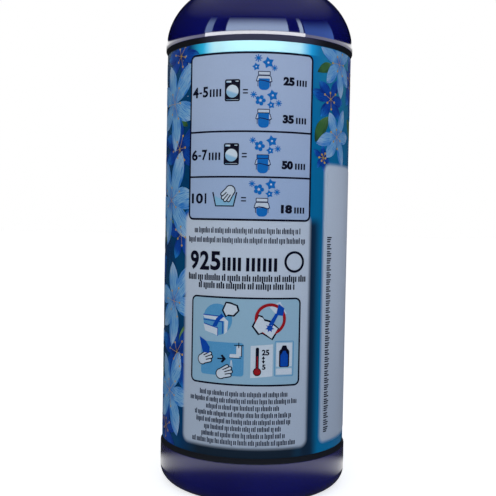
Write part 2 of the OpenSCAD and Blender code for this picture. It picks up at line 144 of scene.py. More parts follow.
class Nodes:
    """Short names for the shader nodes that the finishes are made of."""

    def __init__(self, name: str, world: bool = False) -> None:
        """Start a material, or a world, of that name with a plain shader."""
        owner = bpy.data.worlds if world else bpy.data.materials
        self.holder = owner.new(name)
        self.holder.use_nodes = True
        self.tree = self.holder.node_tree
        self.shader = self.tree.nodes["Background" if world else "Principled BSDF"]

    def new(self, kind: str, **settings: object) -> bpy.types.Node:
        """Add a node of a kind and give it its settings."""
        node = self.tree.nodes.new(kind)
        for key, value in settings.items():
            setattr(node, key, value)
        return node

    def feed(self, value: object, socket: Socket) -> None:
        """Give a socket its value: another socket to read, or a constant."""
        if isinstance(value, Socket):
            self.tree.links.new(value, socket)
        elif isinstance(value, tuple) and len(value) == 3 and socket.type == "RGBA":
            socket.default_value = (*value, 1.0)
        else:
            socket.default_value = value

    def maths(self, operation: str, *values: object) -> Socket:
        """One step of arithmetic on sockets or numbers."""
        node = self.new("ShaderNodeMath", operation=operation)
        for value, socket in zip(values, node.inputs):
            self.feed(value, socket)
        return node.outputs[0]

    def times(self, first: object, second: object) -> Socket:
        """The product of two sockets or numbers."""
        return self.maths("MULTIPLY", first, second)

    def place(self, which: str = "Object") -> Socket:
        """The place of the shaded point, on the object or on its print's own drawing."""
        return self.new("ShaderNodeTexCoord").outputs[which]

    def split(self, vector: Socket) -> list[Socket]:
        """The three parts of a vector."""
        node = self.new("ShaderNodeSeparateXYZ")
        self.feed(vector, node.inputs[0])
        return list(node.outputs)

    def stretched(self, vector: Socket, scale: tuple[float, float, float]) -> Socket:
        """A place whose three directions are stretched, for grain that runs one way."""
        node = self.new("ShaderNodeMapping")
        self.feed(vector, node.inputs["Vector"])
        node.inputs["Scale"].default_value = scale
        return node.outputs[0]

    def noise(self, scale: float, detail: float = 2.0, vector: object = None) -> Socket:
        """Soft random cloud from 0 to 1; scale is in cells to a metre on Object coordinates."""
        node = self.new("ShaderNodeTexNoise")
        self.feed(vector or self.place(), node.inputs["Vector"])
        node.inputs["Scale"].default_value = scale
        node.inputs["Detail"].default_value = detail
        return node.outputs["Fac"]

    def cells(self, scale: float, vector: object = None) -> Socket:
        """Distance to the nearest of scattered points, for patches and specks."""
        node = self.new("ShaderNodeTexVoronoi")
        self.feed(vector or self.place(), node.inputs["Vector"])
        node.inputs["Scale"].default_value = scale
        return node.outputs["Distance"]

    def ramp(self, factor: Socket, stops: Stops) -> Socket:
        """Colours along a factor."""
        node = self.new("ShaderNodeValToRGB")
        self.feed(factor, node.inputs[0])
        elements = node.color_ramp.elements
        while len(elements) < len(stops):
            elements.new(0.5)
        for element, (position, colour) in zip(elements, stops):
            element.position = position
            element.color = (*colour, 1.0)
        return node.outputs[0]

    def mix(self, factor: object, first: object, second: object) -> Socket:
        """A colour between two colours."""
        node = self.new("ShaderNodeMix", data_type="RGBA")
        self.feed(factor, node.inputs[0])
        self.feed(first, node.inputs[6])
        self.feed(second, node.inputs[7])
        return node.outputs[2]

    def step(self, value: Socket, low: float, high: float) -> Socket:
        """A soft step from 0 at low to 1 at high; low may be the larger."""
        node = self.new("ShaderNodeMapRange", interpolation_type="SMOOTHSTEP")
        down = low > high
        self.feed(value, node.inputs["Value"])
        node.inputs["From Min"].default_value = min(low, high)
        node.inputs["From Max"].default_value = max(low, high)
        node.inputs["To Min"].default_value = 1.0 if down else 0.0
        node.inputs["To Max"].default_value = 0.0 if down else 1.0
        return node.outputs[0]

    def window(self, value: Socket, low: float, high: float, soft: float) -> Socket:
        """1 between low and high, falling to 0 over soft outside each."""
        return self.times(self.step(value, low - soft, low), self.step(value, high + soft, high))

    def bump(self, height: Socket, depth: float) -> None:
        """Raise the surface by a factor times a depth in metres."""
        node = self.new("ShaderNodeBump")
        node.inputs["Strength"].default_value = 1.0
        node.inputs["Distance"].default_value = depth
        self.feed(height, node.inputs["Height"])
        self.feed(node.outputs[0], self.shader.inputs["Normal"])

    def set(self, **values: object) -> None:
        """Set the shader's sockets; underscores stand for the spaces in their names."""
        for key, value in values.items():
            self.feed(value, self.shader.inputs[key.replace("_", " ")])


@dataclass(frozen=True)
class LabelSpace:
    """Where the label lies: its radius and middle height in metres, from the frame."""

    radius: float
    middle: float

    def arc_and_height(self, nodes: Nodes) -> tuple[Socket, Socket]:
        """Arc right of the front and height above the label's middle, both in millimetres."""
        x, y, z = nodes.split(nodes.place())
        turn = nodes.maths("ARCTAN2", x, nodes.times(y, -1.0))
        across = nodes.times(turn, self.radius / MM)
        height = nodes.times(nodes.maths("SUBTRACT", z, self.middle), 1 / MM)
        return across, height


@dataclass(frozen=True)
class MouldedPlastic:
    """A glossy or satin moulded plastic with faint flow marks and a fine grain."""

    name: str
    colour: Colour
    flow: Colour
    roughness: float = 0.2
    coat: float = 0.0
    gloss: float = 0.5
    milky: float = 0.0
    grain: float = 0.00001
    grain_scale: float = 900.0

    def material(self) -> Look:
        """Build the plastic."""
        nodes = Nodes(self.name)
        cloud = nodes.noise(28.0, 3.0)
        speckle = nodes.noise(self.grain_scale, 2.0)
        colour = nodes.ramp(cloud, [(0.3, self.colour), (0.7, self.flow)])
        roughness = nodes.maths("MULTIPLY_ADD", speckle, 0.08, self.roughness - 0.04)
        nodes.set(Base_Color=colour, Roughness=roughness, Specular_IOR_Level=self.gloss)
        nodes.set(Coat_Weight=self.coat, Coat_Roughness=0.05)
        nodes.set(Subsurface_Weight=self.milky, Subsurface_Scale=0.004)
        nodes.bump(speckle, self.grain)
        return nodes.holder


@dataclass(frozen=True)
class BottlePlastic:
    """Glossy royal-blue plastic with painted shade in the two gaps at the label's ends and a painted
    reflection in the upper.
    """

    name: str
    colour: Colour = screen(8, 9, 76)
    flow: Colour = screen(14, 18, 96)
    # Painted shade for the two gaps, and a lighter painted reflection for the upper gap's front.
    painted_gap_shade: Colour = screen(3, 4, 16)
    painted_gap_reflection: Colour = screen(60, 58, 80)
    gap_reach: Point = (82.3, 84.6)
    roughness: float = 0.06
    coat_ior: float = 1.75
    grain: float = 0.0000012

    def material(self, space: LabelSpace) -> Look:
        """Build the plastic."""
        nodes = Nodes(self.name)
        cloud = nodes.noise(28.0, 3.0)
        speckle = nodes.noise(700.0, 2.0)
        plain = nodes.ramp(cloud, [(0.3, self.colour), (0.7, self.flow)])
        across, height = space.arc_and_height(nodes)
        away = nodes.maths("ABSOLUTE", height)
        # Painted shade: the colour turns nearly black in the gaps beside the label's ends, with a lighter
        # painted reflection at the upper gap's front.
        painted_gap_shade = nodes.window(away, *self.gap_reach, 0.2)
        upper = nodes.step(height, -1.0, 1.0)
        front = nodes.times(upper, nodes.window(across, -12.0, 14.0, 16.0))
        dark = nodes.mix(front, self.painted_gap_shade, self.painted_gap_reflection)
        nodes.set(Base_Color=nodes.mix(painted_gap_shade, plain, dark), Specular_IOR_Level=0.6, Coat_IOR=self.coat_ior)
        fine = nodes.maths("MULTIPLY_ADD", speckle, 0.04, self.roughness - 0.02)
        # Where the shade is painted, the roughness rises and the coat goes, so the gaps mirror no lamp.
        nodes.set(Roughness=nodes.maths("MAXIMUM", fine, nodes.times(painted_gap_shade, 0.9)))
        nodes.set(Coat_Weight=nodes.maths("SUBTRACT", 1.0, painted_gap_shade), Coat_Roughness=0.04)
        nodes.bump(speckle, self.grain)
        return nodes.holder


@dataclass(frozen=True)
class PanelEdges:
    """The two pale text panels, whose edges fade softly into the artwork, in label millimetres."""

    front: Spec = (-31.6, 23.0, -78.6, 15.0)
    side: Spec = (30.2, 87.0, -78.6, 35.6)
    corner: float = 3.0
    fade: float = 1.1

    def mask(self, nodes: Nodes, across: Socket, height: Socket) -> Socket:
        """1 on the panels and 0 away from them."""
        masks = []
        for left, right, foot, top in (self.front, self.side):
            beyond = []
            for value, low, high in ((across, left, right), (height, foot, top)):
                away = nodes.maths("ABSOLUTE", nodes.maths("SUBTRACT", value, (low + high) / 2))
                past = nodes.maths("SUBTRACT", away, (high - low) / 2 - self.corner)
                beyond.append(nodes.maths("MAXIMUM", past, 0.0))
            squares = [nodes.maths("POWER", part, 2.0) for part in beyond]
            distance = nodes.maths("SQRT", nodes.maths("ADD", *squares))
            masks.append(nodes.step(distance, self.corner + self.fade, self.corner - self.fade))
        return nodes.maths("MAXIMUM", *masks)


@dataclass(frozen=True)
class PanelInk:
    """Pale ink under a faint vertical fade, with the fine dots of offset print."""

    name: str
    top: Colour
    foot: Colour
    high: float
    low: float
    roughness: float = 0.42

    def colour(self, nodes: Nodes, height: Socket) -> Socket:
        """The ink's colour at a height on the label."""
        fade = nodes.step(height, self.low, self.high)
        even = nodes.mix(fade, self.foot, self.top)
        dots = nodes.cells(3200.0)
        return nodes.mix(nodes.times(dots, 0.1), even, (0.02, 0.03, 0.06))

    def material(self, space: LabelSpace) -> Look:
        """Build the ink."""
        nodes = Nodes(f"{self.name}_ink")
        _, height = space.arc_and_height(nodes)
        nodes.set(Base_Color=self.colour(nodes, height), Roughness=self.roughness)
        nodes.set(Specular_IOR_Level=PRINT_GLOSS)
        nodes.bump(nodes.noise(1500.0, 2.0), 0.000004)
        return nodes.holder


@dataclass(frozen=True)
class MarkInk:
    """Solid ink for marks, a little uneven as printed."""

    name: str
    colour: Colour
    thin: Colour
    roughness: float = 0.35

    def material(self) -> Look:
        """Build the ink."""
        nodes = Nodes(f"{self.name}_ink")
        speckle = nodes.noise(2600.0, 3.0)
        nodes.set(Base_Color=nodes.ramp(speckle, [(0.35, self.colour), (0.75, self.thin)]))
        nodes.set(Roughness=self.roughness, Specular_IOR_Level=0.08)
        nodes.bump(speckle, 0.000003)
        return nodes.holder


@dataclass(frozen=True)
class DrawnInk:
    """Ink that changes along and across its own shape, as a painted petal or leaf does."""

    name: str
    root: Colour
    body: Colour
    tip: Colour
    edge: Colour
    streaks: float = 0.5

    def material(self, space: LabelSpace, edges: PanelEdges, pale: PanelInk) -> Look:
        """Build the ink, fading into the pale panels where it runs up to them."""
        nodes = Nodes(f"{self.name}_ink")
        drawing = nodes.place("UV")
        side, along, _ = nodes.split(drawing)
        grain = nodes.noise(5.0, 4.0, nodes.stretched(drawing, (2.6, 0.7, 1.0)))
        cloud = nodes.noise(160.0, 3.0)
        shifted = nodes.maths("ADD", along, nodes.maths("MULTIPLY_ADD", cloud, 0.7, -0.35))
        base = nodes.ramp(shifted, [(0.0, self.root), (0.3, self.body), (0.62, self.body), (1.0, self.tip)])
        vein = nodes.step(grain, 0.42, 0.66)
        streaked = nodes.mix(nodes.times(vein, self.streaks), base, self.edge)
        rim = nodes.step(nodes.maths("ABSOLUTE", side), 0.5, 1.0)
        painted = nodes.mix(nodes.times(rim, 0.55), streaked, self.edge)
        across, height = space.arc_and_height(nodes)
        colour = nodes.mix(edges.mask(nodes, across, height), painted, pale.colour(nodes, height))
        nodes.set(Base_Color=colour, Roughness=0.35, Specular_IOR_Level=PRINT_GLOSS)
        nodes.bump(grain, 0.000003)
        return nodes.holder


@dataclass(frozen=True)
class WindowInk:
    """A round white pane with a pale slanting wash of water colour in its lower half."""

    name: str
    glass: Colour
    water: Colour

    def material(self) -> Look:
        """Build the ink."""
        nodes = Nodes(f"{self.name}_ink")
        side, up, _ = nodes.split(nodes.place("UV"))
        slant = nodes.maths("ADD", up, nodes.times(side, 0.35))
        wash = nodes.mix(nodes.step(slant, 0.12, -0.35), self.glass, self.water)
        grain = nodes.noise(2600.0)
        nodes.set(Base_Color=nodes.mix(nodes.times(grain, 0.12), wash, self.water))
        nodes.set(Roughness=0.35, Specular_IOR_Level=PRINT_GLOSS)
        nodes.bump(grain, 0.000003)
        return nodes.holder


@dataclass(frozen=True)
class MetallisedFilm:
    """Teal ink over metallised film: darker left than right, with a painted highlight band over the dose
    table.
    """

    name: str
    left: Colour = screen(6, 84, 130)
    right: Colour = screen(12, 130, 184)
    bright: Colour = screen(34, 142, 176)
    deep: Colour = screen(6, 44, 104)
    gutter: Colour = screen(22, 54, 82)
    shade: Colour = screen(32, 48, 64)
    # A painted highlight: a pale band with cyan ends over the dose table, which the front strip's real
    # reflection in the film brightens further.
    painted_highlight: Colour = screen(196, 244, 248)
    painted_highlight_rim: Colour = screen(50, 206, 248)

    def material(self, space: LabelSpace, edges: PanelEdges, pale: PanelInk) -> Look:
        """Build the film's print."""
        nodes = Nodes(self.name)
        across, height = space.arc_and_height(nodes)
        wash = nodes.times(nodes.step(nodes.noise(55.0, 4.0), 0.42, 0.7), 0.55)
        above = nodes.step(height, 78.0, 78.6)
        fields = (
            (nodes.step(across, -22.0, -34.0), wash, self.deep),
            (nodes.step(across, 20.0, 30.0), nodes.step(height, 44.0, 74.0), self.bright),
            (nodes.window(across, 22.0, 24.6, 5.6), nodes.step(height, 15.0, 10.0), self.gutter),
            (nodes.window(across, -22.0, 15.0, 15.0), nodes.step(height, -74.0, -79.0), self.shade),
            # The last two fields paint the highlight band over the dose table.
            (nodes.window(across, -24.0, 19.0, 8.0), above, self.painted_highlight_rim),
            (nodes.window(across, -17.5, 15.5, 7.0), above, self.painted_highlight),
        )
        ground = nodes.mix(nodes.step(across, -30.0, 26.0), self.left, self.right)
        for sideways, upwards, colour in fields:
            ground = nodes.mix(nodes.times(sideways, upwards), ground, colour)
        mask = edges.mask(nodes, across, height)
        colour = nodes.mix(mask, ground, pale.colour(nodes, height))
        bare = nodes.maths("SUBTRACT", 1.0, mask)
        nodes.set(Base_Color=colour, Metallic=nodes.times(bare, 0.4))
        roughness = nodes.maths("MULTIPLY_ADD", bare, -0.16, pale.roughness)
        nodes.set(Roughness=roughness, Specular_IOR_Level=PRINT_GLOSS)
        nodes.bump(nodes.noise(40.0, 2.0), 0.00002)
        return nodes.holder


@dataclass(frozen=True)
class Wrap:
    """How a flat print lies round the film."""

    radius: float
    middle: float
    half_height: float
    backing: float = 0.01 * MM

    @property
    def strip(self) -> float:
        """Width in millimetres of the strips that bend round the film."""
        return self.radius / MM * FULL_TURN / CUTS_ROUND

    def roll(self, mesh: bmesh.types.BMesh) -> None:
        """Cut a flat print into strips and lay it round the film.

        Args:
            mesh: The flat print: x is arc right of the front, y height over the label's middle and z the
                distance out of the film, all in millimetres.
        """
        reach = [vert.co.x for vert in mesh.verts]
        first = math.ceil(min(reach) / self.strip)
        last = math.floor(max(reach) / self.strip)
        for index in range(first, last + 1):
            parts = mesh.verts[:] + mesh.edges[:] + mesh.faces[:]
            plane = (index * self.strip, 0, 0)
            bmesh.ops.bisect_plane(mesh, geom=parts, dist=1e-5, plane_co=plane, plane_no=(1, 0, 0))
        for vert in mesh.verts:
            angle = vert.co.x * MM / self.radius
            out = self.radius + vert.co.z * MM
            vert.co = (out * math.sin(angle), -out * math.cos(angle), self.middle + vert.co.y * MM)


def corners_of(faces: list[Face]) -> list[bmesh.types.BMVert]:
    """Every corner of some faces, once each."""
    return list({vert for face in faces for vert in face.verts})


class FlatPrint:
    """Printed shapes of one ink, drawn flat in millimetres and then rolled round the film."""

    def __init__(self, wrap: Wrap) -> None:
        """Start with an empty sheet."""
        self.wrap = wrap
        self.mesh = bmesh.new()
        self.drawing = self.mesh.loops.layers.uv.new("Drawing")

    def _raise(self, faces: list[Face], place: Matrix, top: float) -> None:
        """Give flat faces their drawing, their place and their thickness.

        Args:
            faces: Faces about the origin, in the shape's own drawing.
            place: Where the shape goes.
            top: How far its face stands out of the film, in millimetres.
        """
        verts = corners_of(faces)
        for face in faces:
            face.smooth = True
            for loop in face.loops:
                loop[self.drawing].uv = (loop.vert.co.x, loop.vert.co.y)
        bmesh.ops.transform(self.mesh, matrix=place, verts=verts)
        limit = self.wrap.half_height / MM
        if max(abs(vert.co.y) for vert in verts) > limit:
            faces = self._trimmed(faces, limit)
        if not faces:
            return
        bmesh.ops.translate(self.mesh, vec=(0, 0, -self.wrap.backing / MM), verts=corners_of(faces))
        raised = bmesh.ops.extrude_face_region(self.mesh, geom=faces)["geom"]
        upper = [item for item in raised if isinstance(item, bmesh.types.BMVert)]
        bmesh.ops.translate(self.mesh, vec=(0, 0, top + self.wrap.backing / MM), verts=upper)

    def _trimmed(self, faces: list[Face], limit: float) -> list[Face]:
        """Cut off what would reach past the label's two ends, and return what is left."""
        for side in (-1, 1):
            parts = faces + list({edge for face in faces for edge in face.edges}) + corners_of(faces)
            cut = bmesh.ops.bisect_plane(
                self.mesh, geom=parts, dist=1e-5, plane_co=(0, side * limit, 0), plane_no=(0, side, 0),
                clear_outer=True)
            faces = [item for item in cut["geom"] if isinstance(item, Face) and item.is_valid]
        return faces

    def shape(self, points: Outline, at: Point, layer: Layer, turn: float = 0.0, size: Point = (1.0, 1.0),
              lift: float = 0.0) -> None:
        """Print a shape by its outline.

        Args:
            points: The outline in the shape's own units.
            at: Arc and height of the shape's own origin.
            layer: Its layer.
            turn: How far it is turned, in degrees, against the clock.
            size: How long a unit is across and up, in millimetres.
            lift: How far it stands over its layer, in millimetres.
        """
        verts = [self.mesh.verts.new((x, y, 0)) for x, y in points]
        face = self.mesh.faces.new(verts)
        face.normal_update()
        place = Matrix.Translation((*at, 0)) @ Matrix.Rotation(math.radians(turn), 4, "Z")
        self._raise([face], place @ Matrix.Diagonal((*size, 1, 1)), layer.value + lift)

    def disc(self, at: Point, radius: float, layer: Layer, lift: float = 0.0) -> None:
        """Print a round spot."""
        self.shape(arc((0, 0), 1.0, 0, 345, 23), at, layer, size=(radius, radius), lift=lift)

    def ring(self, at: Point, radius: float, line: float, layer: Layer) -> None:
        """Print a round line of that width, measured inwards from the radius."""
        edge = bmesh.ops.create_circle(self.mesh, cap_ends=True, radius=radius, segments=48)
        self._hollow(edge["verts"], line, at, layer)

    def _hollow(self, verts: list[bmesh.types.BMVert], line: float, at: Point, layer: Layer) -> None:
        """Leave only a line along the edge of the one face that the corners span, and print it."""
        face = verts[0].link_faces[0]
        inset = bmesh.ops.inset_region(
            self.mesh, faces=[face], thickness=line, use_boundary=True, use_even_offset=True)
        rim = inset["faces"]
        bmesh.ops.delete(self.mesh, geom=[face], context="FACES")
        self._raise(rim, Matrix.Translation((*at, 0)), layer.value)

    def _card(self, width: float, height: float, corner: float) -> list[bmesh.types.BMVert]:
        """One face with round corners about the origin."""
        signs = ((-1, -1), (1, -1), (1, 1), (-1, 1))
        verts = [self.mesh.verts.new((x * width / 2, y * height / 2, 0)) for x, y in signs]
        self.mesh.faces.new(verts)
        rounded = bmesh.ops.bevel(
            self.mesh, geom=verts, affect="VERTICES", offset=corner, offset_type="OFFSET", segments=6,
            profile=0.5, material=-1,
        )
        return rounded["verts"]

    def card(self, sides: Point, ends: Point, corner: float, layer: Layer, lift: float = 0.0) -> None:
        """Print a rounded field between two arcs and two heights."""
        verts = self._card(sides[1] - sides[0], ends[1] - ends[0], corner)
        middle = (sum(sides) / 2, sum(ends) / 2, 0)
        self._raise([verts[0].link_faces[0]], Matrix.Translation(middle), layer.value + lift)

    def frame(self, sides: Point, ends: Point, corner: float, line: float, layer: Layer) -> None:
        """Print a rounded frame line between two arcs and two heights."""
        verts = self._card(sides[1] - sides[0], ends[1] - ends[0], corner)
        self._hollow(verts, line, (sum(sides) / 2, sum(ends) / 2), layer)

    def bar(self, sides: Point, ends: Point, layer: Layer, lean: float = 0.0) -> None:
        """Print a plain upright or level bar; lean shifts its top sideways."""
        (left, right), (foot, top) = sides, ends
        points = [(left, foot), (right, foot), (right + lean, top), (left + lean, top)]
        self.shape(points, (0, 0), layer)

    def star(self, at: Point, points: int, radius: float, waist: float, layer: Layer,
             turn: float = 0.0) -> None:
        """Print a star; waist is the radius between its points as a share."""
        outline = []
        for index in range(2 * points):
            angle = math.pi * index / points
            reach = waist if index % 2 else 1.0
            outline.append((-reach * math.sin(angle), reach * math.cos(angle)))
        self.shape(outline, at, layer, turn, (radius, radius))

    def digits(self, text: str, sides: Point, ends: Point, layer: Layer, weight: float = 0.0) -> None:
        """Print plain figures so that they fill a box.

        Args:
            text: The figures.
            sides: Arcs of the box's left and right.
            ends: Heights of its foot and top.
            layer: Their layer.
            weight: How much each stroke is thickened, as a share of the figures' size.
        """
        curve = bpy.data.curves.new("figures", "FONT")
        curve.body = text
        curve.offset = weight
        curve.resolution_u = 4
        holder = bpy.data.objects.new("figures", curve)
        bpy.context.scene.collection.objects.link(holder)
        bpy.context.view_layer.update()
        flat = bpy.data.meshes.new_from_object(holder.evaluated_get(bpy.context.evaluated_depsgraph_get()))
        before = set(self.mesh.faces)
        self.mesh.from_mesh(flat)
        faces = [face for face in self.mesh.faces if face not in before]
        bmesh.ops.remove_doubles(self.mesh, verts=corners_of(faces), dist=1e-5)
        faces = [face for face in self.mesh.faces if face not in before]
        across = [vert.co.x for vert in corners_of(faces)]
        up = [vert.co.y for vert in corners_of(faces)]
        wide = (sides[1] - sides[0]) / (max(across) - min(across))
        tall = (ends[1] - ends[0]) / (max(up) - min(up))
        place = Matrix.Translation((sides[0], ends[0], 0)) @ Matrix.Diagonal((wide, tall, 1, 1))
        self._raise(faces, place @ Matrix.Translation((-min(across), -min(up), 0)), layer.value)
        bpy.data.objects.remove(holder)
        bpy.data.curves.remove(curve)
        bpy.data.meshes.remove(flat)

    def strokes(self, left: float, foot: float, tall: float, count: int, width: float, pitch: float) -> None:
        """Print a row of plain upright strokes.

        Args:
            left: Arc of the first stroke's left side.
            foot: Height of their feet.
            tall: How tall they are.
            count: How many there are.
            width: Width of each stroke.
            pitch: From one stroke to the next.
        """
        for index in range(count):
            start = left + index * pitch
            self.bar((start, start + width), (foot, foot + tall), Layer.MARK)

    def done(self) -> bmesh.types.BMesh:
        """Close the sheet: face outwards, cut to strips and roll round the film."""
        bmesh.ops.recalc_face_normals(self.mesh, faces=self.mesh.faces[:])
        bmesh.ops.triangulate(self.mesh, faces=self.mesh.faces[:])
        self.wrap.roll(self.mesh)
        return self.mesh


def swept(mesh: bmesh.types.BMesh, parts: list, degrees: float, steps: int, rise: float = 0.0) -> None:
    """Turn parts of a mesh about the bottle's axis.

    Args:
        mesh: The mesh that they are in.
        parts: Corners, edges or faces; a full turn closes on itself.
        degrees: How far they turn, against the clock seen from above.
        steps: How many steps the turn has.
        rise: How far each step climbs, in metres.
    """
    bmesh.ops.spin(
        mesh, geom=parts, cent=(0, 0, 0), axis=(0, 0, 1), dvec=(0, 0, rise), angle=math.radians(degrees),
        steps=steps, use_merge=degrees == 360.0, use_duplicate=False,
    )


def placed(mesh: bmesh.types.BMesh, name: str, look: Look) -> bpy.types.Object:
    """Make an object of a mesh, which is used up, and dress it."""
    data = bpy.data.meshes.new(name)
    mesh.to_mesh(data)
    mesh.free()
    data.materials.append(look)
    thing = bpy.data.objects.new(name, data)
    bpy.context.scene.collection.objects.link(thing)
    return thing


def finished(mesh: bmesh.types.BMesh, name: str, look: Look,
             stands_for: tuple[str, ...] = (), body: Body = Body.CONTAINER, crease: float = 32.0) -> None:
    """Make a piece of a mesh, dress it and let it ride with its body.

    Args:
        mesh: The piece's mesh, in metres and in place; it is used up.
        name: The piece's name.
        look: Its material.
        stands_for: The solids that it replaces.
        body: What it moves with.
        crease: The angle in degrees past which an edge shows.
    """
    piece = placed(mesh, name, look)
    piece.data.shade_smooth()
    piece.data.set_sharp_from_angle(angle=math.radians(crease))
    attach(piece, body.value)
    if stands_for:
        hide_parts(*stands_for)
    log.info("%s: %d faces on %s", name, len(piece.data.polygons), body.value)


def spun(profile: Outline, closed: bool) -> bmesh.types.BMesh:
    """Turn an outline round the bottle's axis.

    Args:
        profile: Radius and height of each point, in millimetres.
        closed: True where the last point joins the first.

    Returns:
        The turned shell, in metres, facing outwards.
    """
    mesh = bmesh.new()
    verts = [mesh.verts.new((radius * MM, 0, height * MM)) for radius, height in profile]
    edges = [mesh.edges.new(pair) for pair in zip(verts, verts[1:])]
    if closed:
        edges.append(mesh.edges.new((verts[-1], verts[0])))
    swept(mesh, verts + edges, 360.0, CUTS_ROUND)
    bmesh.ops.remove_doubles(mesh, verts=mesh.verts[:], dist=1e-7)
    bmesh.ops.recalc_face_normals(mesh, faces=mesh.faces[:])
    return mesh


@dataclass
class BlownBottle:
    """The blown shell, in millimetres."""

    panel_r: float = 39.75
    panel_z: float = 17.5
    panel_h: float = 169.0
    bead_step: float = 0.9
    slope_h: float = 1.7
    bead_edge_r: float = 0.3
    band_h: float = 1.2
    hold: float = 0.08
    wall: float = 1.1
    heel_r: float = 7.0
    stand_w: float = 3.5
    pushup_h: float = 4.0
    pushup_r: float = 21.0
    shoulder_r: float = 26.0
    neck_curve_r: float = 12.0
    neck_r: float = 23.0
    neck_h: float = 6.9
    neck_wall: float = 1.8

    @property
    def bead_r(self) -> float:
        """Outer radius of the beads."""
        return self.panel_r + self.bead_step

    @property
    def panel_top(self) -> float:
        """Height of the panel's upper end."""
        return self.panel_z + self.panel_h

    @property
    def shoulder_z(self) -> float:
        """Height at which the shoulder starts to turn in."""
        return self.panel_top + self.bead_edge_r + self.band_h

    @property
    def shoulder_at(self) -> Point:
        """Middle of the shoulder's curve."""
        return self.bead_r - self.shoulder_r, self.shoulder_z

    @property
    def shoulder_turn(self) -> float:
        """How far the shoulder turns before the neck's curve, in degrees."""
        inwards = (self.bead_r - self.neck_r) / (self.shoulder_r + self.neck_curve_r)
        return math.degrees(math.acos(1 - inwards))

    @property
    def neck_z(self) -> float:
        """Height at which the straight neck starts."""
        curves = self.shoulder_r + self.neck_curve_r
        return self.shoulder_z + curves * math.sin(math.radians(self.shoulder_turn))

    @property
    def neck_curve_at(self) -> Point:
        """Middle of the neck's curve."""
        return self.neck_r + self.neck_curve_r, self.neck_z

    def outside(self) -> list[Point]:
        """The outer outline, from the middle of the base to the neck's rim."""
        stand_r = self.bead_r - self.heel_r
        low = self.panel_z - self.bead_edge_r
        high = self.panel_top + self.bead_edge_r
        across = self.bead_step - self.bead_edge_r
        rise = self.slope_h + self.bead_edge_r
        lean = math.degrees(math.atan2(across, rise) + math.asin(self.bead_edge_r / math.hypot(across, rise)))
        edge_r = self.bead_r - self.bead_edge_r
        points = [(0, self.pushup_h), (self.pushup_r, self.pushup_h)]
        points += ease((self.pushup_r, self.pushup_h), (stand_r - self.stand_w, 0), 12)
        points += [(stand_r - self.stand_w, 0)]
        points += arc((stand_r, self.heel_r), self.heel_r, -90, 0, 16)
        points += [(self.bead_r, self.heel_r + self.hold), (self.bead_r, low - self.hold)]
        points += arc((edge_r, low), self.bead_edge_r, 0, lean, 6)
        points += [(self.panel_r, self.panel_z + self.slope_h), (self.panel_r, self.panel_top - self.slope_h)]
        points += arc((edge_r, high), self.bead_edge_r, -lean, 0, 6)
        points += [(self.bead_r, high + self.hold), (self.bead_r, self.shoulder_z - self.hold)]
        points += arc(self.shoulder_at, self.shoulder_r, 0, self.shoulder_turn, 24)
        points += arc(self.neck_curve_at, self.neck_curve_r, 180 + self.shoulder_turn, 180, 14)
        return points + [(self.neck_r, self.neck_z + self.neck_h)]

    def inside(self) -> list[Point]:
        """The inner outline, from the neck's rim down to the middle of the base."""
        bore_r = self.neck_r - self.neck_wall
        stand_r = self.bead_r - self.heel_r
        hall = self.bead_r - self.wall
        waist = self.panel_r - self.wall
        floor = self.pushup_h + self.wall
        points = [(bore_r, self.neck_z + self.neck_h), (bore_r, self.neck_z)]
        points += arc(self.neck_curve_at, self.neck_curve_r + self.wall, 180, 180 + self.shoulder_turn, 14)
        points += arc(self.shoulder_at, self.shoulder_r - self.wall, self.shoulder_turn, 0, 24)
        points += [(hall, self.panel_top + self.bead_edge_r), (waist, self.panel_top - self.slope_h)]
        points += [(waist, self.panel_z + self.slope_h), (hall, self.panel_z - self.bead_edge_r)]
        points += arc((stand_r, self.heel_r), self.heel_r - self.wall, 0, -90, 16)
        points += [(stand_r - self.stand_w, self.wall)]
        points += ease((stand_r - self.stand_w, self.wall), (self.pushup_r, floor), 12)
        return points + [(self.pushup_r, floor), (0, floor)]

    def build(self, look: Look) -> None:
        """Turn the shell and dress it."""
        mesh = spun(self.outside() + self.inside(), closed=False)
        finished(mesh, "blown_bottle", look, ("bottle",), crease=20.0)


@dataclass(frozen=True)
class ThreadRidges:
    """The helical ridges of the cap's right-hand thread on one of its two walls, in millimetres."""

    wall_r: float
    stand: float
    foot: float
    lead: float = 12.0
    starts: int = 3
    sweep: float = 200.0
    width: float = 1.3
    bed: float = 0.2
    steps: int = 60

    def build(self, name: str, look: Look, slot: str, body: Body) -> None:
        """Sweep the ridges.

        Args:
            name: The piece's name.
            look: Its material.
            slot: The material slot meant for its finish; not used.
            body: What it moves with.
        """
        mesh = bmesh.new()
        crest = self.wall_r + self.stand
        root = self.wall_r - math.copysign(self.bed, self.stand)
        half = self.width / 2
        corners = [(root, -half), (crest, -half / 2), (crest, half / 2), (root, half)]
        for index in range(self.starts):
            turn = Matrix.Rotation(FULL_TURN * index / self.starts, 4, "Z")
            verts = [mesh.verts.new(turn @ Vector((r * MM, 0, (self.foot + z) * MM))) for r, z in corners]
            climb = self.lead * MM * self.sweep / 360 / self.steps
            swept(mesh, [mesh.faces.new(verts)], self.sweep, self.steps, climb)
        bmesh.ops.recalc_face_normals(mesh, faces=mesh.faces[:])
        finished(mesh, name, look, body=body)


